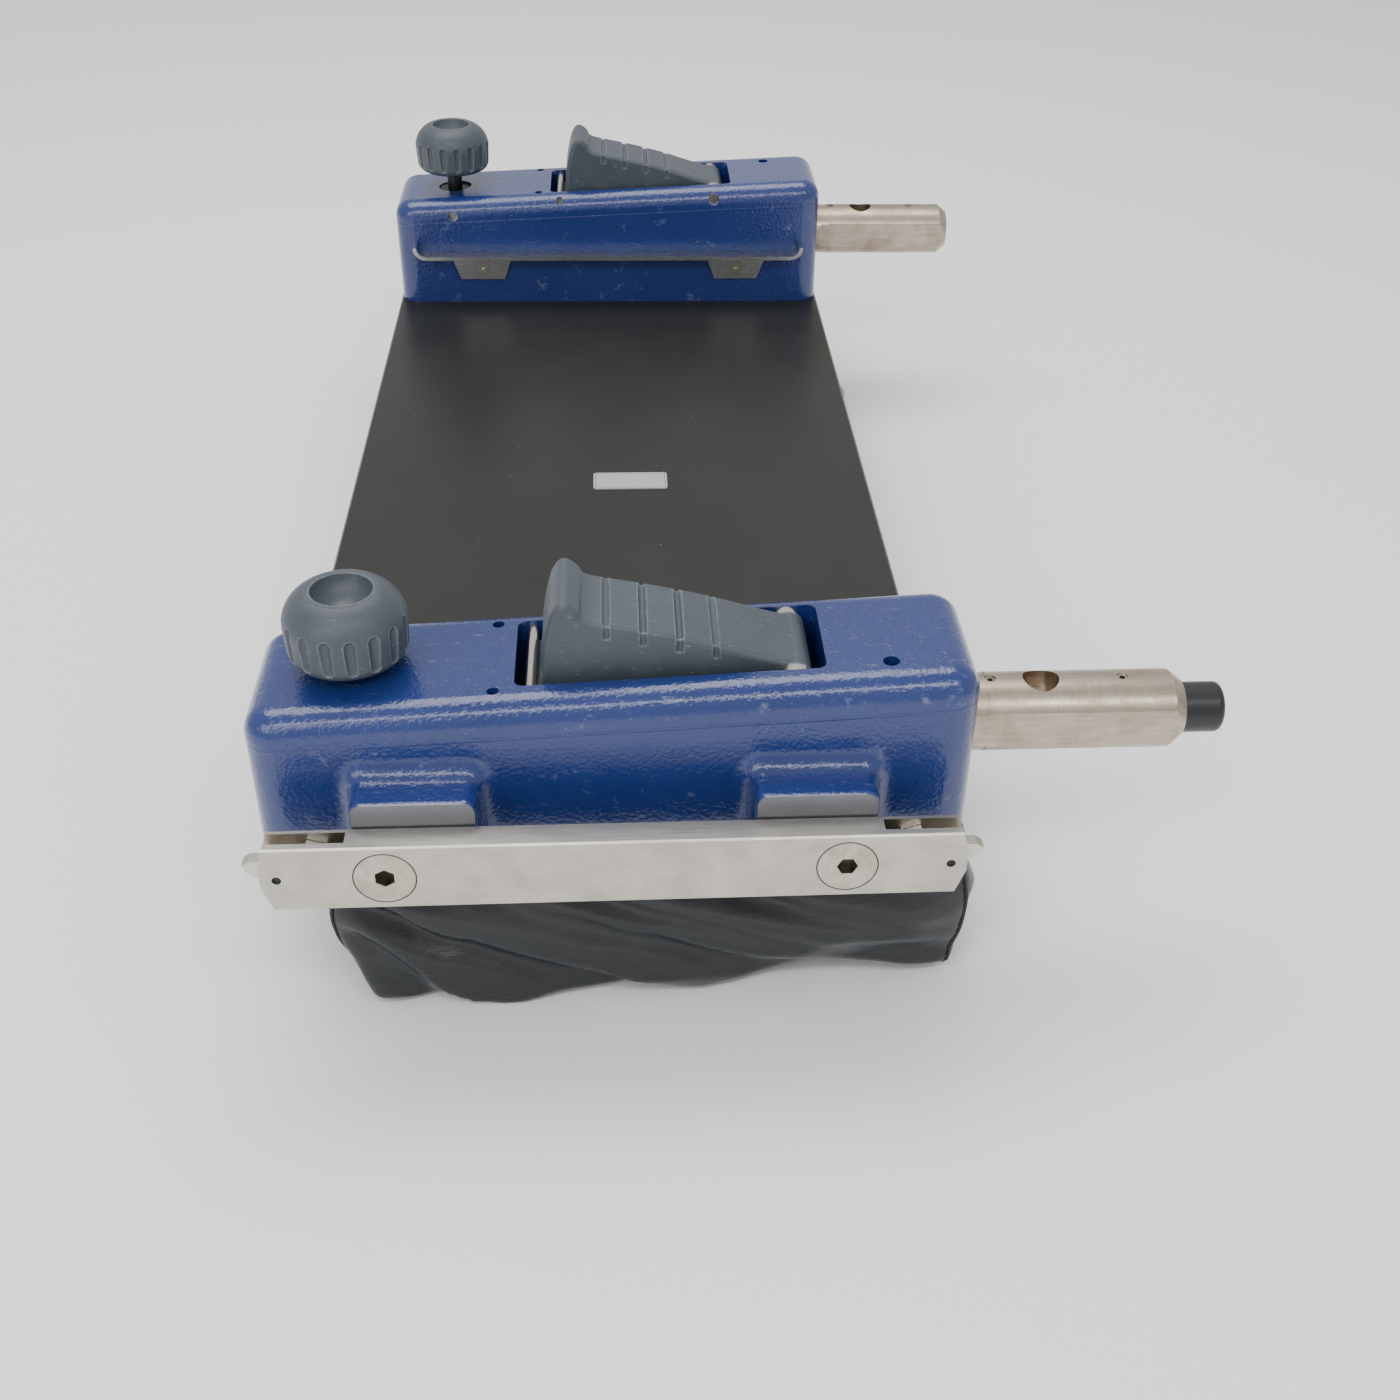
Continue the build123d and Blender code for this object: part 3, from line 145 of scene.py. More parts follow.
# ---------------------------------------------------------------- node helpers
class Finish:
    """A material with short calls for the nodes that the finishes share."""

    def __init__(self, name):
        self.material = bpy.data.materials.new(name)
        self.material.use_nodes = True
        self.nodes = self.material.node_tree.nodes
        self.links = self.material.node_tree.links
        self.shader = self.nodes["Principled BSDF"]
        self.place = self.nodes.new("ShaderNodeTexCoord").outputs["Object"]

    def set(self, **values):
        for name, value in values.items():
            socket = self.shader.inputs[name.replace("_", " ")]
            socket.default_value = (*value, 1.0) if hasattr(value, "__len__") and len(value) == 3 else value
        return self

    def node(self, kind, inputs=None, **options):
        node = self.nodes.new(kind)
        for name, value in options.items():
            setattr(node, name, value)
        for key, value in (inputs or {}).items():
            if isinstance(value, bpy.types.NodeSocket):
                self.links.new(value, node.inputs[key])
            else:
                node.inputs[key].default_value = value
        return node

    def stretch(self, scale, turn=(0, 0, 0)):
        inputs = {"Vector": self.place, "Scale": scale, "Rotation": turn}
        return self.node("ShaderNodeMapping", inputs).outputs[0]

    def noise(self, size, detail=3.0, rough=0.5, vector=None, distort=0.0):
        inputs = {"Vector": vector or self.place, "Scale": 1 / size, "Detail": detail, "Roughness": rough,
                  "Distortion": distort}
        return self.node("ShaderNodeTexNoise", inputs).outputs[0]

    def math(self, operation, first, second=0.0):
        return self.node("ShaderNodeMath", {0: first, 1: second}, operation=operation).outputs[0]

    def remap(self, value, low, high, to_low=0.0, to_high=1.0):
        inputs = {"Value": value, "From Min": low, "From Max": high, "To Min": to_low, "To Max": to_high}
        return self.node("ShaderNodeMapRange", inputs).outputs[0]

    def blend(self, factor, first, second):
        node = self.node("ShaderNodeMix", data_type="RGBA")
        for socket, value in ((node.inputs[0], factor), (node.inputs[6], first), (node.inputs[7], second)):
            if isinstance(value, bpy.types.NodeSocket):
                self.links.new(value, socket)
            else:
                socket.default_value = (*value, 1.0) if hasattr(value, "__len__") else value
        return node.outputs[2]

    def worn_edges(self, radius, low, high):
        """1 on rounded or sharp edges, 0 on the flats."""
        soft = self.node("ShaderNodeBevel", {"Radius": radius}, samples=6).outputs[0]
        true = self.node("ShaderNodeNewGeometry").outputs["True Normal"]
        dot = self.node("ShaderNodeVectorMath", {0: soft, 1: true}, operation="DOT_PRODUCT").outputs["Value"]
        return self.remap(self.math("SUBTRACT", 1.0, dot), low, high)

    def colour(self, value):
        self.links.new(value, self.shader.inputs["Base Color"])
        return self

    def rough(self, value):
        self.links.new(value, self.shader.inputs["Roughness"])
        return self

    def metal(self, value):
        self.links.new(value, self.shader.inputs["Metallic"])
        return self

    def bump(self, *layers):
        """Layers are (height, depth in metres), from the coarsest to the finest."""
        normal = None
        for height, depth in layers:
            inputs = {"Height": height, "Strength": 1.0, "Distance": depth}
            if normal is not None:
                inputs["Normal"] = normal
            normal = self.node("ShaderNodeBump", inputs).outputs[0]
        self.links.new(normal, self.shader.inputs["Normal"])
        return self

    def axis(self, name):
        return self.node("ShaderNodeSeparateXYZ", {0: self.place}).outputs[name]


# ---------------------------------------------------------------- finishes
PARTING_DROP = 17.2 * MM
PARTING_SLOPE = 0.05
SEAT_MARGIN = 0.25 * MM


def housing_paint(settings):
    """Glossy powder coat over a casting, with bare machined rail seats and a thin parting line."""
    low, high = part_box("right_housing")
    seat = -low.y - SEAT_MARGIN
    finish = Finish("housing_paint")
    bare = finish.math("GREATER_THAN", finish.math("ABSOLUTE", finish.axis("Y")), seat)
    peel = finish.noise(settings.peel, 1.5, 0.4)
    ripple = finish.noise(settings.peel * 5, 1.0)
    cloud = finish.noise(60 * MM, 4.0, 0.6)
    scuff = finish.noise(0.5, 9.0, 0.72, finish.stretch((60, 200, 60), (0.3, 0.2, 0.6)))
    rub = finish.worn_edges(2.2 * MM, 0.05, 0.5)
    marks = finish.math("MULTIPLY", finish.remap(scuff, 0.60, 0.70), 0.32)
    rubbed = finish.math("MULTIPLY", rub, finish.remap(scuff, 0.5, 0.62, 0.0, 0.16))
    marks = finish.math("MAXIMUM", marks, rubbed)
    light = tuple(min(1.0, c * 1.2 + 0.003) for c in settings.colour)
    paint = finish.blend(finish.remap(cloud, 0.3, 0.7), tuple(settings.colour), light)
    paint = finish.blend(marks, paint, (0.30, 0.34, 0.45))
    grind = finish.noise(0.02, 4.0, 0.6, finish.stretch((0.5, 1.0, 30.0)))
    finish.colour(finish.blend(bare, paint, tuple(settings.bare)))
    finish.metal(bare)
    gloss = finish.remap(cloud, 0.3, 0.7, 0.17, 0.24)
    finish.rough(finish.node("ShaderNodeMix", {0: bare, 2: gloss, 3: 0.36}).outputs[0])
    rise = finish.math("SUBTRACT", finish.axis("Z"), finish.math("MULTIPLY", finish.axis("X"), PARTING_SLOPE))
    line = finish.math("ABSOLUTE", finish.math("SUBTRACT", rise, high.z - PARTING_DROP))
    parting = finish.remap(line, 0.25 * MM, 0.7 * MM, 1.0, 0.0)
    coat = finish.math("SUBTRACT", 1.0, bare)
    finish.bump((parting, 0.15 * MM), (ripple, 0.12 * MM), (finish.math("MULTIPLY", peel, coat), 0.24 * MM),
                (finish.math("MULTIPLY", grind, bare), 0.02 * MM))
    return finish.set(Specular_IOR_Level=0.5, Coat_Weight=0.35, Coat_Roughness=0.12).material


def ground_steel(name, colour, along=(1, 1, 1), roughness=(0.26, 0.40), grain=0.02 * MM, stain=0.25):
    """Ground or brushed stainless steel; along stretches the grain."""
    finish = Finish(name)
    lines = finish.noise(0.9 * MM, 6.0, 0.65, finish.stretch(along))
    cloud = finish.noise(14 * MM, 4.0, 0.6)
    speck = finish.noise(0.6 * MM, 2.0, 0.7)
    dark = tuple(c * (1 - stain) for c in colour)
    tone = finish.blend(finish.remap(cloud, 0.35, 0.7), tuple(colour), dark)
    tone = finish.blend(finish.remap(lines, 0.3, 0.75, 0.0, 0.35), tone, tuple(c * 0.72 for c in colour))
    finish.colour(tone)
    finish.rough(finish.remap(finish.math("ADD", finish.math("MULTIPLY", lines, 0.7),
                                          finish.math("MULTIPLY", cloud, 0.3)), 0.3, 0.7, *roughness))
    finish.bump((lines, grain), (speck, grain * 0.4))
    return finish.set(Metallic=1.0).material


def rail_screw_steel():
    """Countersunk heads: stained steel with a dark ring of dirt round each head and a dark key socket."""
    low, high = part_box("right_rail_screws")
    radius = (high.z - low.z) / 2
    finish = Finish("rail_screw_steel")
    across = finish.math("SUBTRACT", finish.math("ABSOLUTE", finish.axis("X")), high.x - radius)
    up = finish.math("SUBTRACT", finish.axis("Z"), (low.z + high.z) / 2)
    away = finish.node("ShaderNodeCombineXYZ", {"X": across, "Y": up}).outputs[0]
    reach = finish.node("ShaderNodeVectorMath", {0: away}, operation="LENGTH").outputs["Value"]
    # painted shade: a dark ring on the outermost edge of each head, in the gap to its countersink
    head_gap_shade = finish.remap(reach, radius - 0.55 * MM, radius - 0.2 * MM)
    stain = finish.noise(7 * MM, 6.0, 0.7, distort=0.5)
    outward = finish.node("ShaderNodeCombineXYZ", {"X": reach}).outputs[0]
    turned = finish.noise(0.4 * MM, 2.0, 0.5, outward)
    tone = finish.blend(finish.remap(stain, 0.4, 0.7, 0.0, 0.8), (0.56, 0.52, 0.45), (0.36, 0.31, 0.24))
    depth = finish.math("ABSOLUTE", finish.axis("Y"))
    # painted shade inside the key socket, growing from 0.1 mm to 1.2 mm below the head's face
    mouth = finish.remap(reach, 3.9 * MM, 3.6 * MM)
    sunk = finish.remap(depth, -low.y - 0.1 * MM, -low.y - 1.2 * MM)
    socket = finish.math("MULTIPLY", mouth, sunk)
    dark = finish.math("MAXIMUM", head_gap_shade, finish.math("MULTIPLY", socket, 0.55))
    # the near-black colour here is the painted shade of the ring and the socket
    finish.colour(finish.blend(dark, tone, (0.05, 0.045, 0.04)))
    finish.rough(finish.remap(stain, 0.3, 0.7, 0.28, 0.42))
    finish.bump((turned, 0.006 * MM))
    return finish.set(Metallic=1.0).material


def pin_steel(settings):
    """Plated pin: fine turned rings, long rub marks and brown handling stains."""
    finish = Finish("pin_steel")
    rings = finish.noise(0.5 * MM, 4.0, 0.6, finish.stretch((1.0, 0.04, 0.04)))
    rubs = finish.noise(1.2 * MM, 7.0, 0.7, finish.stretch((0.06, 1.0, 1.0)))
    stain = finish.noise(16 * MM, 6.0, 0.65, distort=0.4)
    colour = tuple(settings.pin)
    brown = (0.28, 0.20, 0.14)
    tone = finish.blend(finish.remap(stain, 0.42, 0.72, 0.0, 0.75), colour, brown)
    tone = finish.blend(finish.remap(rubs, 0.5, 0.8, 0.0, 0.5), tone, (0.78, 0.74, 0.68))
    finish.colour(tone)
    finish.rough(finish.remap(finish.math("ADD", rings, stain), 0.7, 1.3, 0.24, 0.44))
    finish.bump((rings, 0.018 * MM), (rubs, 0.012 * MM))
    return finish.set(Metallic=1.0).material


def bright_metal(name, colour, roughness=0.16):
    finish = Finish(name)
    cloud = finish.noise(5 * MM, 4.0, 0.6)
    hair = finish.noise(0.35 * MM, 3.0, 0.6)
    finish.colour(finish.blend(finish.remap(cloud, 0.4, 0.7), tuple(colour), tuple(c * 0.8 for c in colour)))
    finish.rough(finish.remap(cloud, 0.3, 0.7, roughness, roughness + 0.12))
    finish.bump((hair, 0.006 * MM))
    return finish.set(Metallic=1.0).material


def grip_plastic(settings):
    """Moulded slate plastic, spark-eroded texture, rubbed pale on its edges, with knocks."""
    finish = Finish("grip_plastic")
    grain = finish.noise(0.55 * MM, 2.0, 0.6)
    cloud = finish.noise(20 * MM, 4.0, 0.6)
    chips = finish.noise(1.6 * MM, 7.0, 0.75, distort=0.6)
    scrape = finish.noise(1.1 * MM, 5.0, 0.7, finish.stretch((0.25, 1.0, 1.0), (0, 0, 0.5)))
    edge = finish.worn_edges(1.6 * MM, 0.02, 0.30)
    worn = finish.math("MULTIPLY", edge, finish.remap(chips, 0.40, 0.60))
    nick = finish.math("MULTIPLY", finish.remap(scrape, 0.62, 0.70), 0.5)
    light = tuple(c * 1.22 for c in settings.grip)
    base = finish.blend(finish.remap(cloud, 0.3, 0.7), tuple(settings.grip), light)
    base = finish.blend(finish.math("MULTIPLY", edge, 0.30), base, tuple(settings.worn))
    finish.colour(finish.blend(finish.math("MAXIMUM", worn, nick), base, tuple(settings.worn)))
    dull = finish.math("SUBTRACT", cloud, finish.math("MULTIPLY", edge, 0.25))
    finish.rough(finish.remap(dull, 0.0, 0.7, 0.34, 0.52))
    finish.bump((chips, 0.04 * MM), (grain, 0.06 * MM))
    return finish.set(Specular_IOR_Level=0.5).material


def black_plastic(name, colour, roughness=(0.32, 0.46)):
    finish = Finish(name)
    grain = finish.noise(0.5 * MM, 3.0, 0.6)
    scratch = finish.noise(1.0 * MM, 7.0, 0.7, finish.stretch((0.12, 1.0, 1.0)))
    edge = finish.worn_edges(0.9 * MM, 0.02, 0.4)
    pale = tuple(min(1.0, c * 5 + 0.02) for c in colour)
    rubbed = finish.math("MULTIPLY", edge, 0.22)
    mark = finish.math("MAXIMUM", rubbed, finish.remap(scratch, 0.66, 0.8, 0.0, 0.4))
    finish.colour(finish.blend(mark, tuple(colour), pale))
    finish.rough(finish.remap(grain, 0.3, 0.7, *roughness))
    finish.bump((scratch, 0.012 * MM), (grain, 0.01 * MM))
    return finish.material


def laminate(settings):
    """Black compact laminate: fine pebbled face, a few pale specks of dust, dark pressed edge."""
    finish = Finish("panel_laminate")
    pebble = finish.noise(0.8 * MM, 2.0, 0.5)
    cloud = finish.noise(90 * MM, 4.0, 0.6)
    dust = finish.node("ShaderNodeTexVoronoi", {"Vector": finish.place, "Scale": 55.0}).outputs["Distance"]
    specks = finish.remap(dust, 0.018, 0.03, 0.35, 0.0)
    pale = tuple(c * 1.5 for c in settings.laminate)
    base = finish.blend(finish.remap(cloud, 0.3, 0.7), tuple(settings.laminate), pale)
    finish.colour(finish.blend(specks, base, (0.35, 0.36, 0.34)))
    finish.rough(finish.remap(cloud, 0.3, 0.7, 0.30, 0.38))
    finish.bump((pebble, 0.03 * MM))
    return finish.set(Specular_IOR_Level=0.28).material


def label_face():
    """Blank silver plate with a thin dark border."""
    low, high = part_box("label_plate")
    centre = (low + high) / 2
    finish = Finish("label_plate")
    edges = []
    for name, index in (("X", 0), ("Y", 1)):
        away = finish.math("ABSOLUTE", finish.math("SUBTRACT", finish.axis(name), centre[index]))
        edges.append(finish.math("SUBTRACT", (high[index] - low[index]) / 2, away))
    inside = finish.math("MINIMUM", *edges)
    outer = finish.remap(inside, 0.7 * MM, 0.85 * MM)
    inner = finish.remap(inside, 1.1 * MM, 1.25 * MM, 1.0, 0.0)
    border = finish.math("MULTIPLY", outer, inner)
    foil = finish.noise(0.6 * MM, 3.0, 0.6)
    tone = finish.blend(finish.remap(foil, 0.3, 0.7), (0.40, 0.41, 0.405), (0.50, 0.51, 0.505))
    finish.colour(finish.blend(finish.math("MULTIPLY", border, 0.7), tone, (0.10, 0.10, 0.10)))
    finish.rough(finish.remap(foil, 0.3, 0.7, 0.34, 0.46))
    finish.bump((foil, 0.006 * MM))
    return finish.set(Metallic=0.25).material


def loop_fabric():
    finish = Finish("fastening_strip")
    loops = finish.node("ShaderNodeTexVoronoi", {"Vector": finish.place, "Scale": 900.0}).outputs["Distance"]
    fuzz = finish.noise(1.5 * MM, 5.0, 0.7)
    finish.colour(finish.blend(fuzz, (0.008, 0.008, 0.009), (0.03, 0.03, 0.032)))
    finish.bump((loops, 0.3 * MM))
    return finish.set(Roughness=0.9, Sheen_Weight=0.4, Sheen_Roughness=0.5).material


def cover_fabric(settings):
    """Coated cover: leather-like grain, satin sheen, faint scuffs on the folds."""
    finish = Finish("pad_cover")
    cells = finish.node("ShaderNodeTexVoronoi", {"Vector": finish.place, "Scale": 950.0}).outputs["Distance"]
    grain = finish.noise(0.7 * MM, 4.0, 0.65)
    crease = finish.noise(5.0 * MM, 5.0, 0.6, finish.stretch((0.5, 1.0, 1.3), (0, 0.5, 0)), 0.8)
    cloud = finish.noise(45 * MM, 4.0, 0.6)
    chalk = finish.math("MULTIPLY", finish.remap(finish.noise(9 * MM, 7.0, 0.75), 0.6, 0.8), 0.35)
    colour = tuple(settings.colour)
    base = finish.blend(finish.remap(cloud, 0.35, 0.7), colour, tuple(c * 1.5 for c in colour))
    finish.colour(finish.blend(chalk, base, (0.05, 0.058, 0.064)))
    finish.rough(finish.remap(finish.math("ADD", cloud, chalk), 0.3, 0.9, 0.30, 0.44))
    finish.bump((crease, 0.35 * MM), (cells, 0.045 * MM), (grain, 0.03 * MM))
    finish.set(Sheen_Weight=0.10, Sheen_Roughness=0.35, Sheen_Tint=(0.75, 0.85, 1.0))
    return finish.set(Specular_IOR_Level=0.55).material


def thread():
    finish = Finish("seam_thread")
    twist = finish.noise(0.4 * MM, 3.0, 0.6)
    finish.colour(finish.blend(twist, (0.012, 0.012, 0.013), (0.04, 0.04, 0.043)))
    finish.bump((twist, 0.05 * MM))
    return finish.set(Roughness=0.7).material


# ---------------------------------------------------------------- shared steps
def coat(material, *names):
    """Gives CAD nodes a finish."""
    for name in names:
        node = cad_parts[name]
        if node.material_slots:
            for slot in node.material_slots:
                slot.material = material
        else:
            node.data.materials.append(material)


def both(*names):
    """Node names of both sides."""
    return [f"{side}_{name}" for side in SIDES for name in names]


def settle(mesh, name, material, body):
    """Puts a finished mesh into the scene as a piece that rides on a body."""
    piece = bpy.data.objects.new(name, mesh)
    bpy.context.scene.collection.objects.link(piece)
    mesh.materials.clear()
    mesh.materials.append(material)
    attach(piece, body)
    return piece


def smooth(mesh):
    for polygon in mesh.polygons:
        polygon.use_smooth = True


def operator(name, label, about):
    """Decorator that turns a function of the scene's settings into an operator."""
    def wrap(work):
        def execute(self, context):
            work(context)
            return {"FINISHED"}
        kind = type("SECTION_OT_" + name, (bpy.types.Operator,),
                    {"bl_idname": "section." + name, "bl_label": label, "__doc__": about, "execute": execute})
        OPERATORS.append(kind)
        return work
    return wrap


OPERATORS = []


# ---------------------------------------------------------------- CAD pieces
@operator("finish_housings", "Housings", "Paints the two cast housings")
def finish_housings(context):
    coat(housing_paint(context.scene.section_paint), *both("housing"))


@operator("finish_rails", "Rails and strips", "Finishes the side rails, their stops and the guide strips")
def finish_rails(context):
    metal = context.scene.section_metal
    coat(ground_steel("rail_steel", tuple(metal.rail), (0.05, 1, 1), (0.27, 0.42), 0.02 * MM),
         *both("side_rail"))
    coat(ground_steel("rail_stop_steel", (0.72, 0.69, 0.63), (0.3, 1, 1), (0.18, 0.32), 0.012 * MM),
         *both("rail_stop_front", "rail_stop_rear"))
    coat(ground_steel("strip_steel", (0.62, 0.62, 0.62), (0.08, 1, 1), (0.2, 0.36), 0.015 * MM),
         *both("guide_strip"))


@operator("finish_pins", "Coupling pins", "Finishes the coupling pins, plungers and the pilot tip")
def finish_pins(context):
    coat(pin_steel(context.scene.section_metal), *both("coupling_pin", "lock_plunger"))
    coat(black_plastic("tip_plastic", tuple(context.scene.section_plastic.tip)), "right_pilot_tip")


@operator("finish_grips", "Levers and knobs", "Finishes the release levers and the clamp knobs")
def finish_grips(context):
    coat(grip_plastic(context.scene.section_plastic), *both("lever", "clamp_knob"))


@operator("finish_fasteners", "Fasteners and works", "Finishes screws, pins, bushes and the pieces inside")
def finish_fasteners(context):
    metal = context.scene.section_metal
    coat(ground_steel("screw_steel", (0.60, 0.56, 0.50), (1, 1, 1), (0.24, 0.40), 0.012 * MM, 0.35),
         *both("guide_strip_screws", "coupling_pin_screws", "housing_bolts"))
    coat(rail_screw_steel(), *both("rail_screws"))
    coat(ground_steel("dark_steel", tuple(metal.dark), (1, 1, 1), (0.3, 0.5), 0.01 * MM),
         *both("clamp_screw", "clamp_insert", "lever_crank", "push_rod", "coupling_pin_bolt",
               "rail_stop_pins"))
    coat(bright_metal("bright_pin", metal.bright),
         *both("lever_pivot_pin", "lever_washers", "lever_stop_pin", "clamp_insert_dowel"))
    coat(ground_steel("bush_steel", (0.5, 0.5, 0.5), (1, 0.1, 0.1), (0.2, 0.35), 0.01 * MM),
         *both("socket_liner"))
    coat(bright_metal("brass_tip", (0.70, 0.50, 0.22), 0.25), *both("clamp_tip"))


@operator("finish_panel", "Panel and label", "Finishes the panel, its blank label and the strips under it")
def finish_panel(context):
    coat(laminate(context.scene.section_plastic), "panel")
    coat(label_face(), "label_plate")
    coat(loop_fabric(), "pad_fastening_strips")


# ---------------------------------------------------------------- geometry node helpers
def take(face, *sizes):
    """Gives a tree inputs for some sizes and its finish, and returns their identifiers."""
    kinds = {name: "NodeSocketFloat" for name in sizes} | {"Finish": "NodeSocketMaterial"}
    return {name: face.new_socket(name, in_out="INPUT", socket_type=kind).identifier
            for name, kind in kinds.items()}


def end_tree(tree, geometry, finish):
    """Ends a tree in Realize Instances and Set Material."""
    real = tree.nodes.new("GeometryNodeRealizeInstances")
    dress = tree.nodes.new("GeometryNodeSetMaterial")
    done = tree.nodes.new("NodeGroupOutput")
    tree.links.new(geometry, real.inputs[0])
    tree.links.new(real.outputs[0], dress.inputs["Geometry"])
    tree.links.new(finish, dress.inputs["Material"])
    tree.links.new(dress.outputs[0], done.inputs[0])


def grow(tree, sockets, values, base=None):
    """Runs a tree on an object and returns the result as a plain mesh."""
    mesh = base or bpy.data.meshes.new(tree.name)
    holder = bpy.data.objects.new(tree.name, mesh)
    bpy.context.scene.collection.objects.link(holder)
    modifier = holder.modifiers.new(tree.name, "NODES")
    modifier.node_group = tree
    for name, value in values.items():
        modifier[sockets[name]] = value
    graph = bpy.context.evaluated_depsgraph_get()
    graph.update()
    result = bpy.data.meshes.new_from_object(holder.evaluated_get(graph), depsgraph=graph)
    bpy.data.objects.remove(holder)
    return result


# ---------------------------------------------------------------- lever springs
SPRING_STEPS = 28
WIRE_SIDES = 12


def spring_tree():
    """Geometry nodes: a coil of wire of a given height, radius and number of turns."""
    tree = bpy.data.node_groups.new("lever_spring_coil", "GeometryNodeTree")
    face = tree.interface
    sockets = take(face, "Turns", "Radius", "Height", "Wire")
    face.new_socket("Coil", in_out="OUTPUT", socket_type="NodeSocketGeometry")
    nodes, links = tree.nodes, tree.links
    given = nodes.new("NodeGroupInput")
    coil = nodes.new("GeometryNodeCurveSpiral")
    coil.inputs["Resolution"].default_value = SPRING_STEPS
    links.new(given.outputs["Turns"], coil.inputs["Rotations"])
    links.new(given.outputs["Radius"], coil.inputs["Start Radius"])
    links.new(given.outputs["Radius"], coil.inputs["End Radius"])
    links.new(given.outputs["Height"], coil.inputs["Height"])
    wire = nodes.new("GeometryNodeCurvePrimitiveCircle")
    wire.inputs["Resolution"].default_value = WIRE_SIDES
    links.new(given.outputs["Wire"], wire.inputs["Radius"])
    tube = nodes.new("GeometryNodeCurveToMesh")
    tube.inputs["Fill Caps"].default_value = True
    links.new(coil.outputs["Curve"], tube.inputs["Curve"])
    links.new(wire.outputs["Curve"], tube.inputs["Profile Curve"])
    end_tree(tree, tube.outputs["Mesh"], given.outputs["Finish"])
    return tree, sockets


@operator("lever_springs", "Lever springs", "Winds the two compression springs under the levers")
def lever_springs(context):
    settings = context.scene.section_spring
    steel = ground_steel("spring_steel", (0.45, 0.45, 0.46), (1, 1, 1), (0.2, 0.35), 0.01 * MM)
    tree, sockets = spring_tree()
    for side in SIDES:
        low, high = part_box(f"{side}_lever_spring")
        wire = settings.wire / 2
        values = {"Turns": settings.turns, "Radius": (high.x - low.x) / 2 - wire,
                  "Height": high.z - low.z - 2 * wire, "Wire": wire, "Finish": steel}
        mesh = grow(tree, sockets, values)
        centre = (low + high) / 2
        mesh.transform(Matrix.Translation((centre.x, centre.y, low.z + wire)))
        smooth(mesh)
        piece = settle(mesh, f"{side}_lever_spring_coil", steel, ROOT_BODY)
        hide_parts(f"{side}_lever_spring")
        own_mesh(piece)


# ---------------------------------------------------------------- pad
PAD_CELL = 3.8 * MM
PAD_EDGE = 4.5 * MM
PAD_INSET = 1.0 * MM
PAD_TOP_SWELL = 0.8 * MM
PAD_SIDE_SWELL = Vector((5.0, 6.0, 0)) * MM
EDGE_BAND = (9 * MM, 1 * MM)
LARGE_LUMP = 1.5 * MM
SMALL_LUMP = 0.5 * MM
FOOT_SWELL = 1.6
END_FOLD_SHARE = 0.8
FRONT_LIFT = 4.0 * MM
FRONT_PINCH = 2.0 * MM
HEM_WAVE = 0.9 * MM
FOLD_BEND = 10 * MM
PUFF_REACH = 2.5 * MM
PUFF_FRAMES = 12


def ease(value, low, high):
    """0 below low, 1 above high, smooth between."""
    share = min(1.0, max(0.0, (value - low) / (high - low)))
    return share * share * (3 - 2 * share)


def pad_block(low, high, step):
    """Closed grid of the pad's box, rounded at its edges."""
    size = high - low
    counts = [max(2, round(length / step)) for length in size]
    mesh = bmesh.new()
    made = {}

    def point(*key):
        if key not in made:
            made[key] = mesh.verts.new([low[n] + size[n] * key[n] / counts[n] for n in range(3)])
        return made[key]

    for axis in range(3):
        first, second = (axis + 1) % 3, (axis + 2) % 3
        for end in (0, counts[axis]):
            for a in range(counts[first]):
                for b in range(counts[second]):
                    ring = []
                    for da, db in ((0, 0), (1, 0), (1, 1), (0, 1)):
                        key = [0, 0, 0]
                        key[axis], key[first], key[second] = end, a + da, b + db
                        ring.append(point(*key))
                    mesh.faces.new(ring if end else ring[::-1])
    return mesh


def round_edges(mesh, low, high, radius):
    """Draws a box's points onto the same box with rounded edges."""
    inner_low = low + Vector((radius,) * 3)
    inner_high = high - Vector((radius,) * 3)
    for vert in mesh.verts:
        core = Vector([min(max(vert.co[n], inner_low[n]), inner_high[n]) for n in range(3)])
        out = vert.co - core
        if out.length > 1e-9:
            vert.co = core + out.normalized() * radius


# Folds of the cover: start and end on the side face as shares of its length and height, half width in mm,
# share of the fold depth
NEAR_FOLDS = (
    ((0.00, 0.98), (0.60, 0.22), 4.5, 1.00),
    ((0.18, 1.02), (0.92, 0.30), 3.6, 0.62),
    ((0.02, 0.70), (0.34, 0.04), 5.0, 0.95),
    ((0.02, 0.44), (0.26, 0.12), 3.2, 0.60),
    ((0.34, 1.02), (1.02, 0.44), 5.0, 0.85),
    ((0.50, 0.62), (1.00, 0.10), 4.4, 0.80),
    ((0.58, 1.02), (1.03, 0.66), 4.2, 0.60),
    ((0.42, 0.34), (0.62, 0.04), 3.4, 0.50),
    ((0.10, 0.88), (0.22, 0.60), 3.0, 0.55),
)
END_FOLDS = (
    ((0.00, 0.80), (0.16, 0.20), 5.0, 0.80),
    ((0.02, 0.35), (0.20, 0.75), 4.0, 0.50),
    ((0.22, 0.95), (0.46, 0.25), 6.0, 0.45),
    ((0.50, 0.70), (0.74, 0.30), 6.0, 0.40),
    ((0.72, 0.95), (0.93, 0.20), 5.0, 0.60),
    ((0.86, 0.60), (1.00, 0.20), 4.5, 0.75),
)


def fold_height(u, v, folds, length, height):
    """Height of the cover's folds at a place on a side face, as a share of the fold depth."""
    total = 0.0
    for start, end, half, depth in folds:
        ax, az = start[0] * length, start[1] * height
        bx, bz = end[0] * length, end[1] * height
        run = Vector((bx - ax, bz - az))
        here = Vector((u * length - ax, v * height - az))
        along = here.dot(run) / run.length_squared
        bend = FOLD_BEND * math.sin(along * 2.6) * min(1.0, length / 0.3)
        off = (here.x * -run.y + here.y * run.x) / run.length + bend
        ends = ease(along, -0.06, 0.14) * (1 - ease(along, 0.80, 1.08))
        width = half * MM * (0.8 + 0.5 * along)
        crest = math.exp(-(off / width) ** 2)
        valley = 0.75 * math.exp(-((off + 1.9 * width) / (1.1 * width)) ** 2)
        total += depth * ends * (crest - valley)
    return total


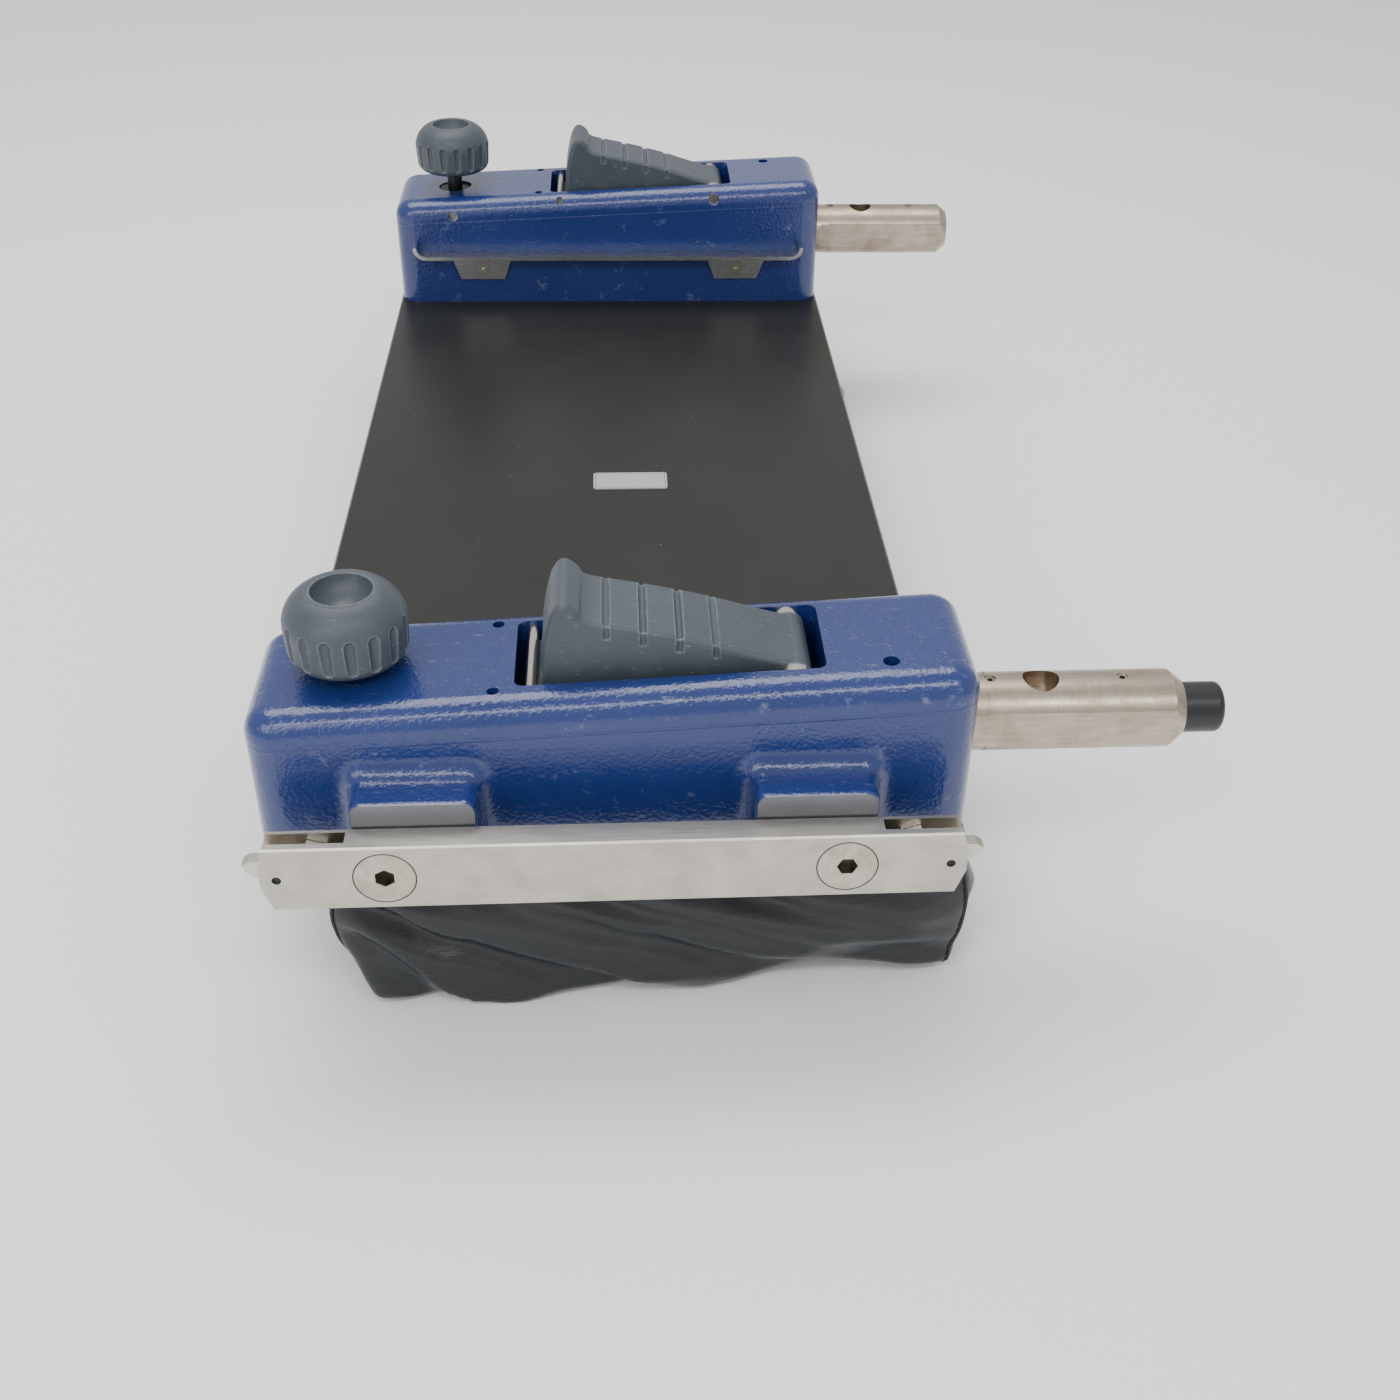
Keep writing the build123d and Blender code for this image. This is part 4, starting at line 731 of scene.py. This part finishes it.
def shape_pad(mesh, low, high, settings):
    """Swells, slumps, tucks and folds the cover."""
    size = high - low
    centre = (low + high) / 2
    for vert in mesh.verts:
        place = vert.co.copy()
        u = (place.x - low.x) / size.x
        w = (place.y - low.y) / size.y
        v = (place.z - low.z) / size.z
        side_x, side_y = [ease(abs(place[n] - centre[n]), *[size[n] / 2 - band for band in EDGE_BAND])
                          for n in range(2)]
        swell = math.sin(math.pi * min(1.0, max(0.0, v))) ** 0.7
        inward = settings.bulge * swell
        lump = noise.noise(place * 38) * LARGE_LUMP + noise.noise(place * 95 + Vector((3, 7, 1))) * SMALL_LUMP
        push_y = side_y * (inward * (0.4 + 0.6 * math.sin(math.pi * u) ** 0.5) + lump)
        push_x = side_x * (inward * (0.4 + 0.6 * math.sin(math.pi * w) ** 0.25) + lump)
        near = place.y < centre.y
        fold_u = u if near else 1 - u
        folds = fold_height(fold_u, v, NEAR_FOLDS, size.x, size.z)
        push_y += side_y * settings.fold_depth * folds * (1 - 0.6 * side_x)
        front = place.x > centre.x
        fold_w = w if front else 1 - w
        folds = fold_height(fold_w, v, END_FOLDS, size.y, size.z)
        push_x += side_x * settings.fold_depth * END_FOLD_SHARE * folds * (1 - 0.6 * side_y)
        # the foot of the side swells out most towards the rear, where the cover is loose
        push_y += side_y * settings.bulge * FOOT_SWELL * (1 - ease(v, 0.0, 0.55)) * (1 - ease(u, 0.25, 0.95))
        place.y += push_y * (-1 if near else 1)
        place.x += push_x * (1 if front else -1)
        # the rear side slants in towards its foot, most at the corners
        corner = max(1 - ease(w, 0.0, 0.16), ease(w, 0.84, 1.0))
        slant = (1 - ease(v, 0.0, 0.72)) * (1 - ease(u, 0.0, 0.22))
        place.x += slant * settings.tuck * (0.35 + 0.65 * corner)
        # the front end of the cover is drawn up a little off the floor, and in, towards its corner
        lift = ease(u, 0.42, 1.0) * max(1 - ease(w, 0.0, 0.05), ease(w, 0.95, 1.0)) * (1 - ease(v, 0.0, 0.6))
        place.z += lift * FRONT_LIFT
        place.y += lift * FRONT_PINCH * (1 if near else -1)
        # the hem line waves where folds run into the floor
        hem = (1 - ease(v, 0.0, 0.25)) * side_y
        place.z += hem * (1.0 + math.sin(u * 17.0 + 0.8)) * HEM_WAVE
        vert.co = place


def puff(mesh_object, cap):
    """Runs a short cloth simulation with inner pressure and keeps every point within cap of its start."""
    start = [vert.co.copy() for vert in mesh_object.data.vertices]
    cloth = mesh_object.modifiers.new("Cloth", "CLOTH")
    cloth.settings.quality = 6
    cloth.settings.mass = 0.4
    cloth.settings.tension_stiffness = 18
    cloth.settings.compression_stiffness = 12
    cloth.settings.bending_stiffness = 0.6
    cloth.settings.use_pressure = True
    cloth.settings.uniform_pressure_force = 3.0
    cloth.settings.effector_weights.gravity = 0
    cloth.point_cache.frame_start = 1
    cloth.point_cache.frame_end = PUFF_FRAMES
    scene = bpy.context.scene
    for number in range(1, PUFF_FRAMES + 1):
        scene.frame_set(number)
    graph = bpy.context.evaluated_depsgraph_get()
    moved = bpy.data.meshes.new_from_object(mesh_object.evaluated_get(graph), depsgraph=graph)
    mesh_object.modifiers.remove(cloth)
    scene.frame_set(1)
    for vert, first in zip(moved.vertices, start):
        step = vert.co - first
        if step.length > cap:
            vert.co = first + step.normalized() * cap
    mesh_object.data = moved


def press_flat(mesh, floor, top, low, high):
    """Flattens the cover where it rests and under the panel, and keeps its sides near the pad's box."""
    for vert in mesh.vertices:
        vert.co.z = min(max(vert.co.z, floor), top)
        for n in range(2):
            vert.co[n] = min(max(vert.co[n], low[n] - PAD_SIDE_SWELL[n]), high[n] + PAD_SIDE_SWELL[n])


@operator("pad", "Pad", "Makes the creased pad cover")
def make_pad(context):
    settings = context.scene.section_pad
    low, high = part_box("pad")
    shrink = Vector((PAD_INSET, PAD_INSET, 0))
    low_in, high_in = low + shrink, high - shrink
    block = pad_block(low_in, high_in, PAD_CELL)
    round_edges(block, low_in, high_in, PAD_EDGE)
    shape_pad(block, low_in, high_in, settings)
    bmesh.ops.recalc_face_normals(block, faces=block.faces)
    mesh = bpy.data.meshes.new("pad_cover")
    block.to_mesh(mesh)
    block.free()
    holder = bpy.data.objects.new("pad_work", mesh)
    bpy.context.scene.collection.objects.link(holder)
    puff(holder, PUFF_REACH)
    graph = bpy.context.evaluated_depsgraph_get()
    holder.modifiers.new("Subdivision", "SUBSURF").levels = 1
    holder.modifiers["Subdivision"].render_levels = 1
    graph.update()
    fine = bpy.data.meshes.new_from_object(holder.evaluated_get(graph), depsgraph=graph)
    bpy.data.objects.remove(holder)
    press_flat(fine, 0.0, high.z + PAD_TOP_SWELL, low, high)
    smooth(fine)
    piece = settle(fine, "pad_cover", cover_fabric(settings), ROOT_BODY)
    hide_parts("pad")


# ---------------------------------------------------------------- seams
WELT_SIDES = 8
STITCH_SIDES = 8
STITCH_RINGS = 5
STITCH_SHAPE = (0.55, 0.55, 1.5)
STITCH_OFFSET = (1.1 * MM, 0, 0)
SEAM_STEPS = 24
SEAM_REACH = (0.05, 0.95)
SEAM_START = 50 * MM
SEAM_PROUD = 0.25 * MM


def seam_tree():
    """Geometry nodes: a welt along a route, with a row of stitches beside it."""
    tree = bpy.data.node_groups.new("sewn_seam", "GeometryNodeTree")
    face = tree.interface
    face.new_socket("Route", in_out="INPUT", socket_type="NodeSocketGeometry")
    sockets = take(face, "Welt", "Spacing")
    face.new_socket("Seam", in_out="OUTPUT", socket_type="NodeSocketGeometry")
    nodes, links = tree.nodes, tree.links
    given = nodes.new("NodeGroupInput")
    route = nodes.new("GeometryNodeMeshToCurve")
    links.new(given.outputs["Route"], route.inputs["Mesh"])
    ring = nodes.new("GeometryNodeCurvePrimitiveCircle")
    ring.inputs["Resolution"].default_value = WELT_SIDES
    links.new(given.outputs["Welt"], ring.inputs["Radius"])
    tube = nodes.new("GeometryNodeCurveToMesh")
    tube.inputs["Fill Caps"].default_value = True
    links.new(route.outputs["Curve"], tube.inputs["Curve"])
    links.new(ring.outputs["Curve"], tube.inputs["Profile Curve"])
    points = nodes.new("GeometryNodeCurveToPoints")
    points.mode = "LENGTH"
    links.new(route.outputs["Curve"], points.inputs["Curve"])
    links.new(given.outputs["Spacing"], points.inputs["Length"])
    stitch = nodes.new("GeometryNodeMeshUVSphere")
    stitch.inputs["Segments"].default_value = STITCH_SIDES
    stitch.inputs["Rings"].default_value = STITCH_RINGS
    links.new(given.outputs["Welt"], stitch.inputs["Radius"])
    lay = nodes.new("GeometryNodeInstanceOnPoints")
    lay.inputs["Scale"].default_value = STITCH_SHAPE
    links.new(points.outputs["Points"], lay.inputs["Points"])
    links.new(points.outputs["Rotation"], lay.inputs["Rotation"])
    links.new(stitch.outputs["Mesh"], lay.inputs["Instance"])
    shift = nodes.new("GeometryNodeTranslateInstances")
    shift.inputs["Translation"].default_value = STITCH_OFFSET
    links.new(lay.outputs[0], shift.inputs["Instances"])
    join = nodes.new("GeometryNodeJoinGeometry")
    links.new(tube.outputs[0], join.inputs[0])
    links.new(shift.outputs[0], join.inputs[0])
    end_tree(tree, join.outputs[0], given.outputs["Finish"])
    return tree, sockets


def corner_route(surface, corner, aim, height):
    """The line up a corner of the cover where rays along aim meet it."""
    mesh = bpy.data.meshes.new("seam_route")
    hits = []
    for step in range(SEAM_STEPS + 1):
        share = SEAM_REACH[0] + (SEAM_REACH[1] - SEAM_REACH[0]) * step / SEAM_STEPS
        start = corner - aim * SEAM_START + Vector((0, 0, height * share))
        hit = surface.ray_cast(start, aim)[0]
        if hit is not None:
            hits.append(hit - aim.normalized() * SEAM_PROUD)
    mesh.from_pydata(hits, [(n, n + 1) for n in range(len(hits) - 1)], [])
    return mesh


@operator("pad_seams", "Pad seams", "Sews the seam and its stitches at each corner of the pad")
def pad_seams(context):
    settings = context.scene.section_pad
    cover = bpy.data.objects["pad_cover"]
    body = bmesh.new()
    body.from_mesh(cover.data)
    surface = BVHTree.FromBMesh(body)
    low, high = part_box("pad")
    tree, sockets = seam_tree()
    values = {"Welt": settings.seam_width / 2, "Spacing": settings.stitch, "Finish": thread()}
    for number, (side_x, side_y) in enumerate(((-1, -1), (-1, 1), (1, -1), (1, 1))):
        corner = Vector((high.x if side_x > 0 else low.x, high.y if side_y > 0 else low.y, low.z))
        route = corner_route(surface, corner, Vector((-side_x, -side_y, 0)), high.z - low.z)
        mesh = grow(tree, sockets, values, route)
        smooth(mesh)
        settle(mesh, f"pad_corner_seam_{number + 1}", values["Finish"], ROOT_BODY)
    body.free()


# ---------------------------------------------------------------- stage
FLOOR_REACH = 6.0
SENSOR_WIDTH = 36.0
LENS_SHIFT = (-0.022, 0.009)
# Name, place, aim, size in metres, and the setting that gives its power
LIGHTS = (
    ("overhead", (-0.2, 0.35, 1.5), (0, -0.05, 0.05), (1.3, 0.8), "key_power"),
    ("front", (-0.8, -1.2, 0.8), (0, -0.2, 0.05), (0.8, 0.6), "fill_power"),
    ("strip", (0.1, -0.97, 1.09), (0, -0.27, 0.12), (1.3, 0.16), "strip_power"),
)


def area_light(name, place, aim, size, power):
    data = bpy.data.lights.new(name, "AREA")
    data.shape = "RECTANGLE"
    data.size, data.size_y = size
    data.energy = power
    light = bpy.data.objects.new(name, data)
    light.location = place
    light.rotation_euler = (Vector(aim) - Vector(place)).to_track_quat("-Z", "Y").to_euler()
    bpy.context.scene.collection.objects.link(light)


@operator("stage", "Stage", "Sets the floor, the lights and the camera")
def make_stage(context):
    settings = context.scene.section_stage
    scene = bpy.context.scene
    mesh = bpy.data.meshes.new("floor")
    mesh.from_pydata([(x * FLOOR_REACH, y * FLOOR_REACH, 0) for x, y in ((-1, -1), (1, -1), (1, 1), (-1, 1))],
                     [], [(0, 1, 2, 3)])
    floor = bpy.data.objects.new("floor", mesh)
    scene.collection.objects.link(floor)
    finish = Finish("floor")
    cloud = finish.noise(0.4, 2.0)
    colour = tuple(settings.floor_colour)
    finish.colour(finish.blend(cloud, colour, tuple(min(1, c * 1.03) for c in colour)))
    mesh.materials.append(finish.set(Roughness=0.9, Specular_IOR_Level=0.1).material)
    world = bpy.data.worlds.new("room")
    world.use_nodes = True
    world.node_tree.nodes["Background"].inputs["Color"].default_value = (1, 1, 1, 1)
    world.node_tree.nodes["Background"].inputs["Strength"].default_value = settings.backdrop
    scene.world = world
    for name, place, aim, size, power in LIGHTS:
        area_light(name, place, aim, size, getattr(settings, power))
    data = bpy.data.cameras.new("camera")
    data.sensor_width = SENSOR_WIDTH
    data.lens = settings.lens
    data.shift_x, data.shift_y = LENS_SHIFT
    camera = bpy.data.objects.new("camera", data)
    turn = Matrix.Rotation(-settings.heading, 4, "Z") @ Matrix.Rotation(math.pi / 2 - settings.tilt, 4, "X")
    turn = turn @ Matrix.Rotation(settings.roll, 4, "Z")
    camera.matrix_world = Matrix.Translation(settings.camera_place) @ turn
    scene.collection.objects.link(camera)
    scene.camera = camera


# ---------------------------------------------------------------- add-on
class SECTION_PT_panel(bpy.types.Panel):
    """Settings and steps of the table section"""
    bl_idname = "SECTION_PT_panel"
    bl_label = "Table Section"
    bl_space_type = "VIEW_3D"
    bl_region_type = "UI"
    bl_category = "Table Section"

    def draw(self, context):
        for kind in OPERATORS:
            self.layout.operator(kind.bl_idname)
        for name, group in SETTINGS.items():
            column = self.layout.column()
            for key in group.__annotations__:
                column.prop(getattr(context.scene, name), key)


def register():
    for name, group in SETTINGS.items():
        bpy.utils.register_class(group)
        setattr(bpy.types.Scene, name, PointerProperty(type=group))
    for kind in OPERATORS:
        bpy.utils.register_class(kind)
    bpy.utils.register_class(SECTION_PT_panel)


def unregister():
    bpy.utils.unregister_class(SECTION_PT_panel)
    for kind in reversed(OPERATORS):
        bpy.utils.unregister_class(kind)
    for name, group in reversed(SETTINGS.items()):
        delattr(bpy.types.Scene, name)
        bpy.utils.unregister_class(group)


def main():
    register()
    bpy.ops.section.stage()
    bpy.ops.section.finish_housings()
    bpy.ops.section.finish_rails()
    bpy.ops.section.finish_pins()
    bpy.ops.section.finish_grips()
    bpy.ops.section.finish_fasteners()
    bpy.ops.section.finish_panel()
    bpy.ops.section.lever_springs()
    bpy.ops.section.pad()
    bpy.ops.section.pad_seams()


if __name__ == "__main__":
    main()
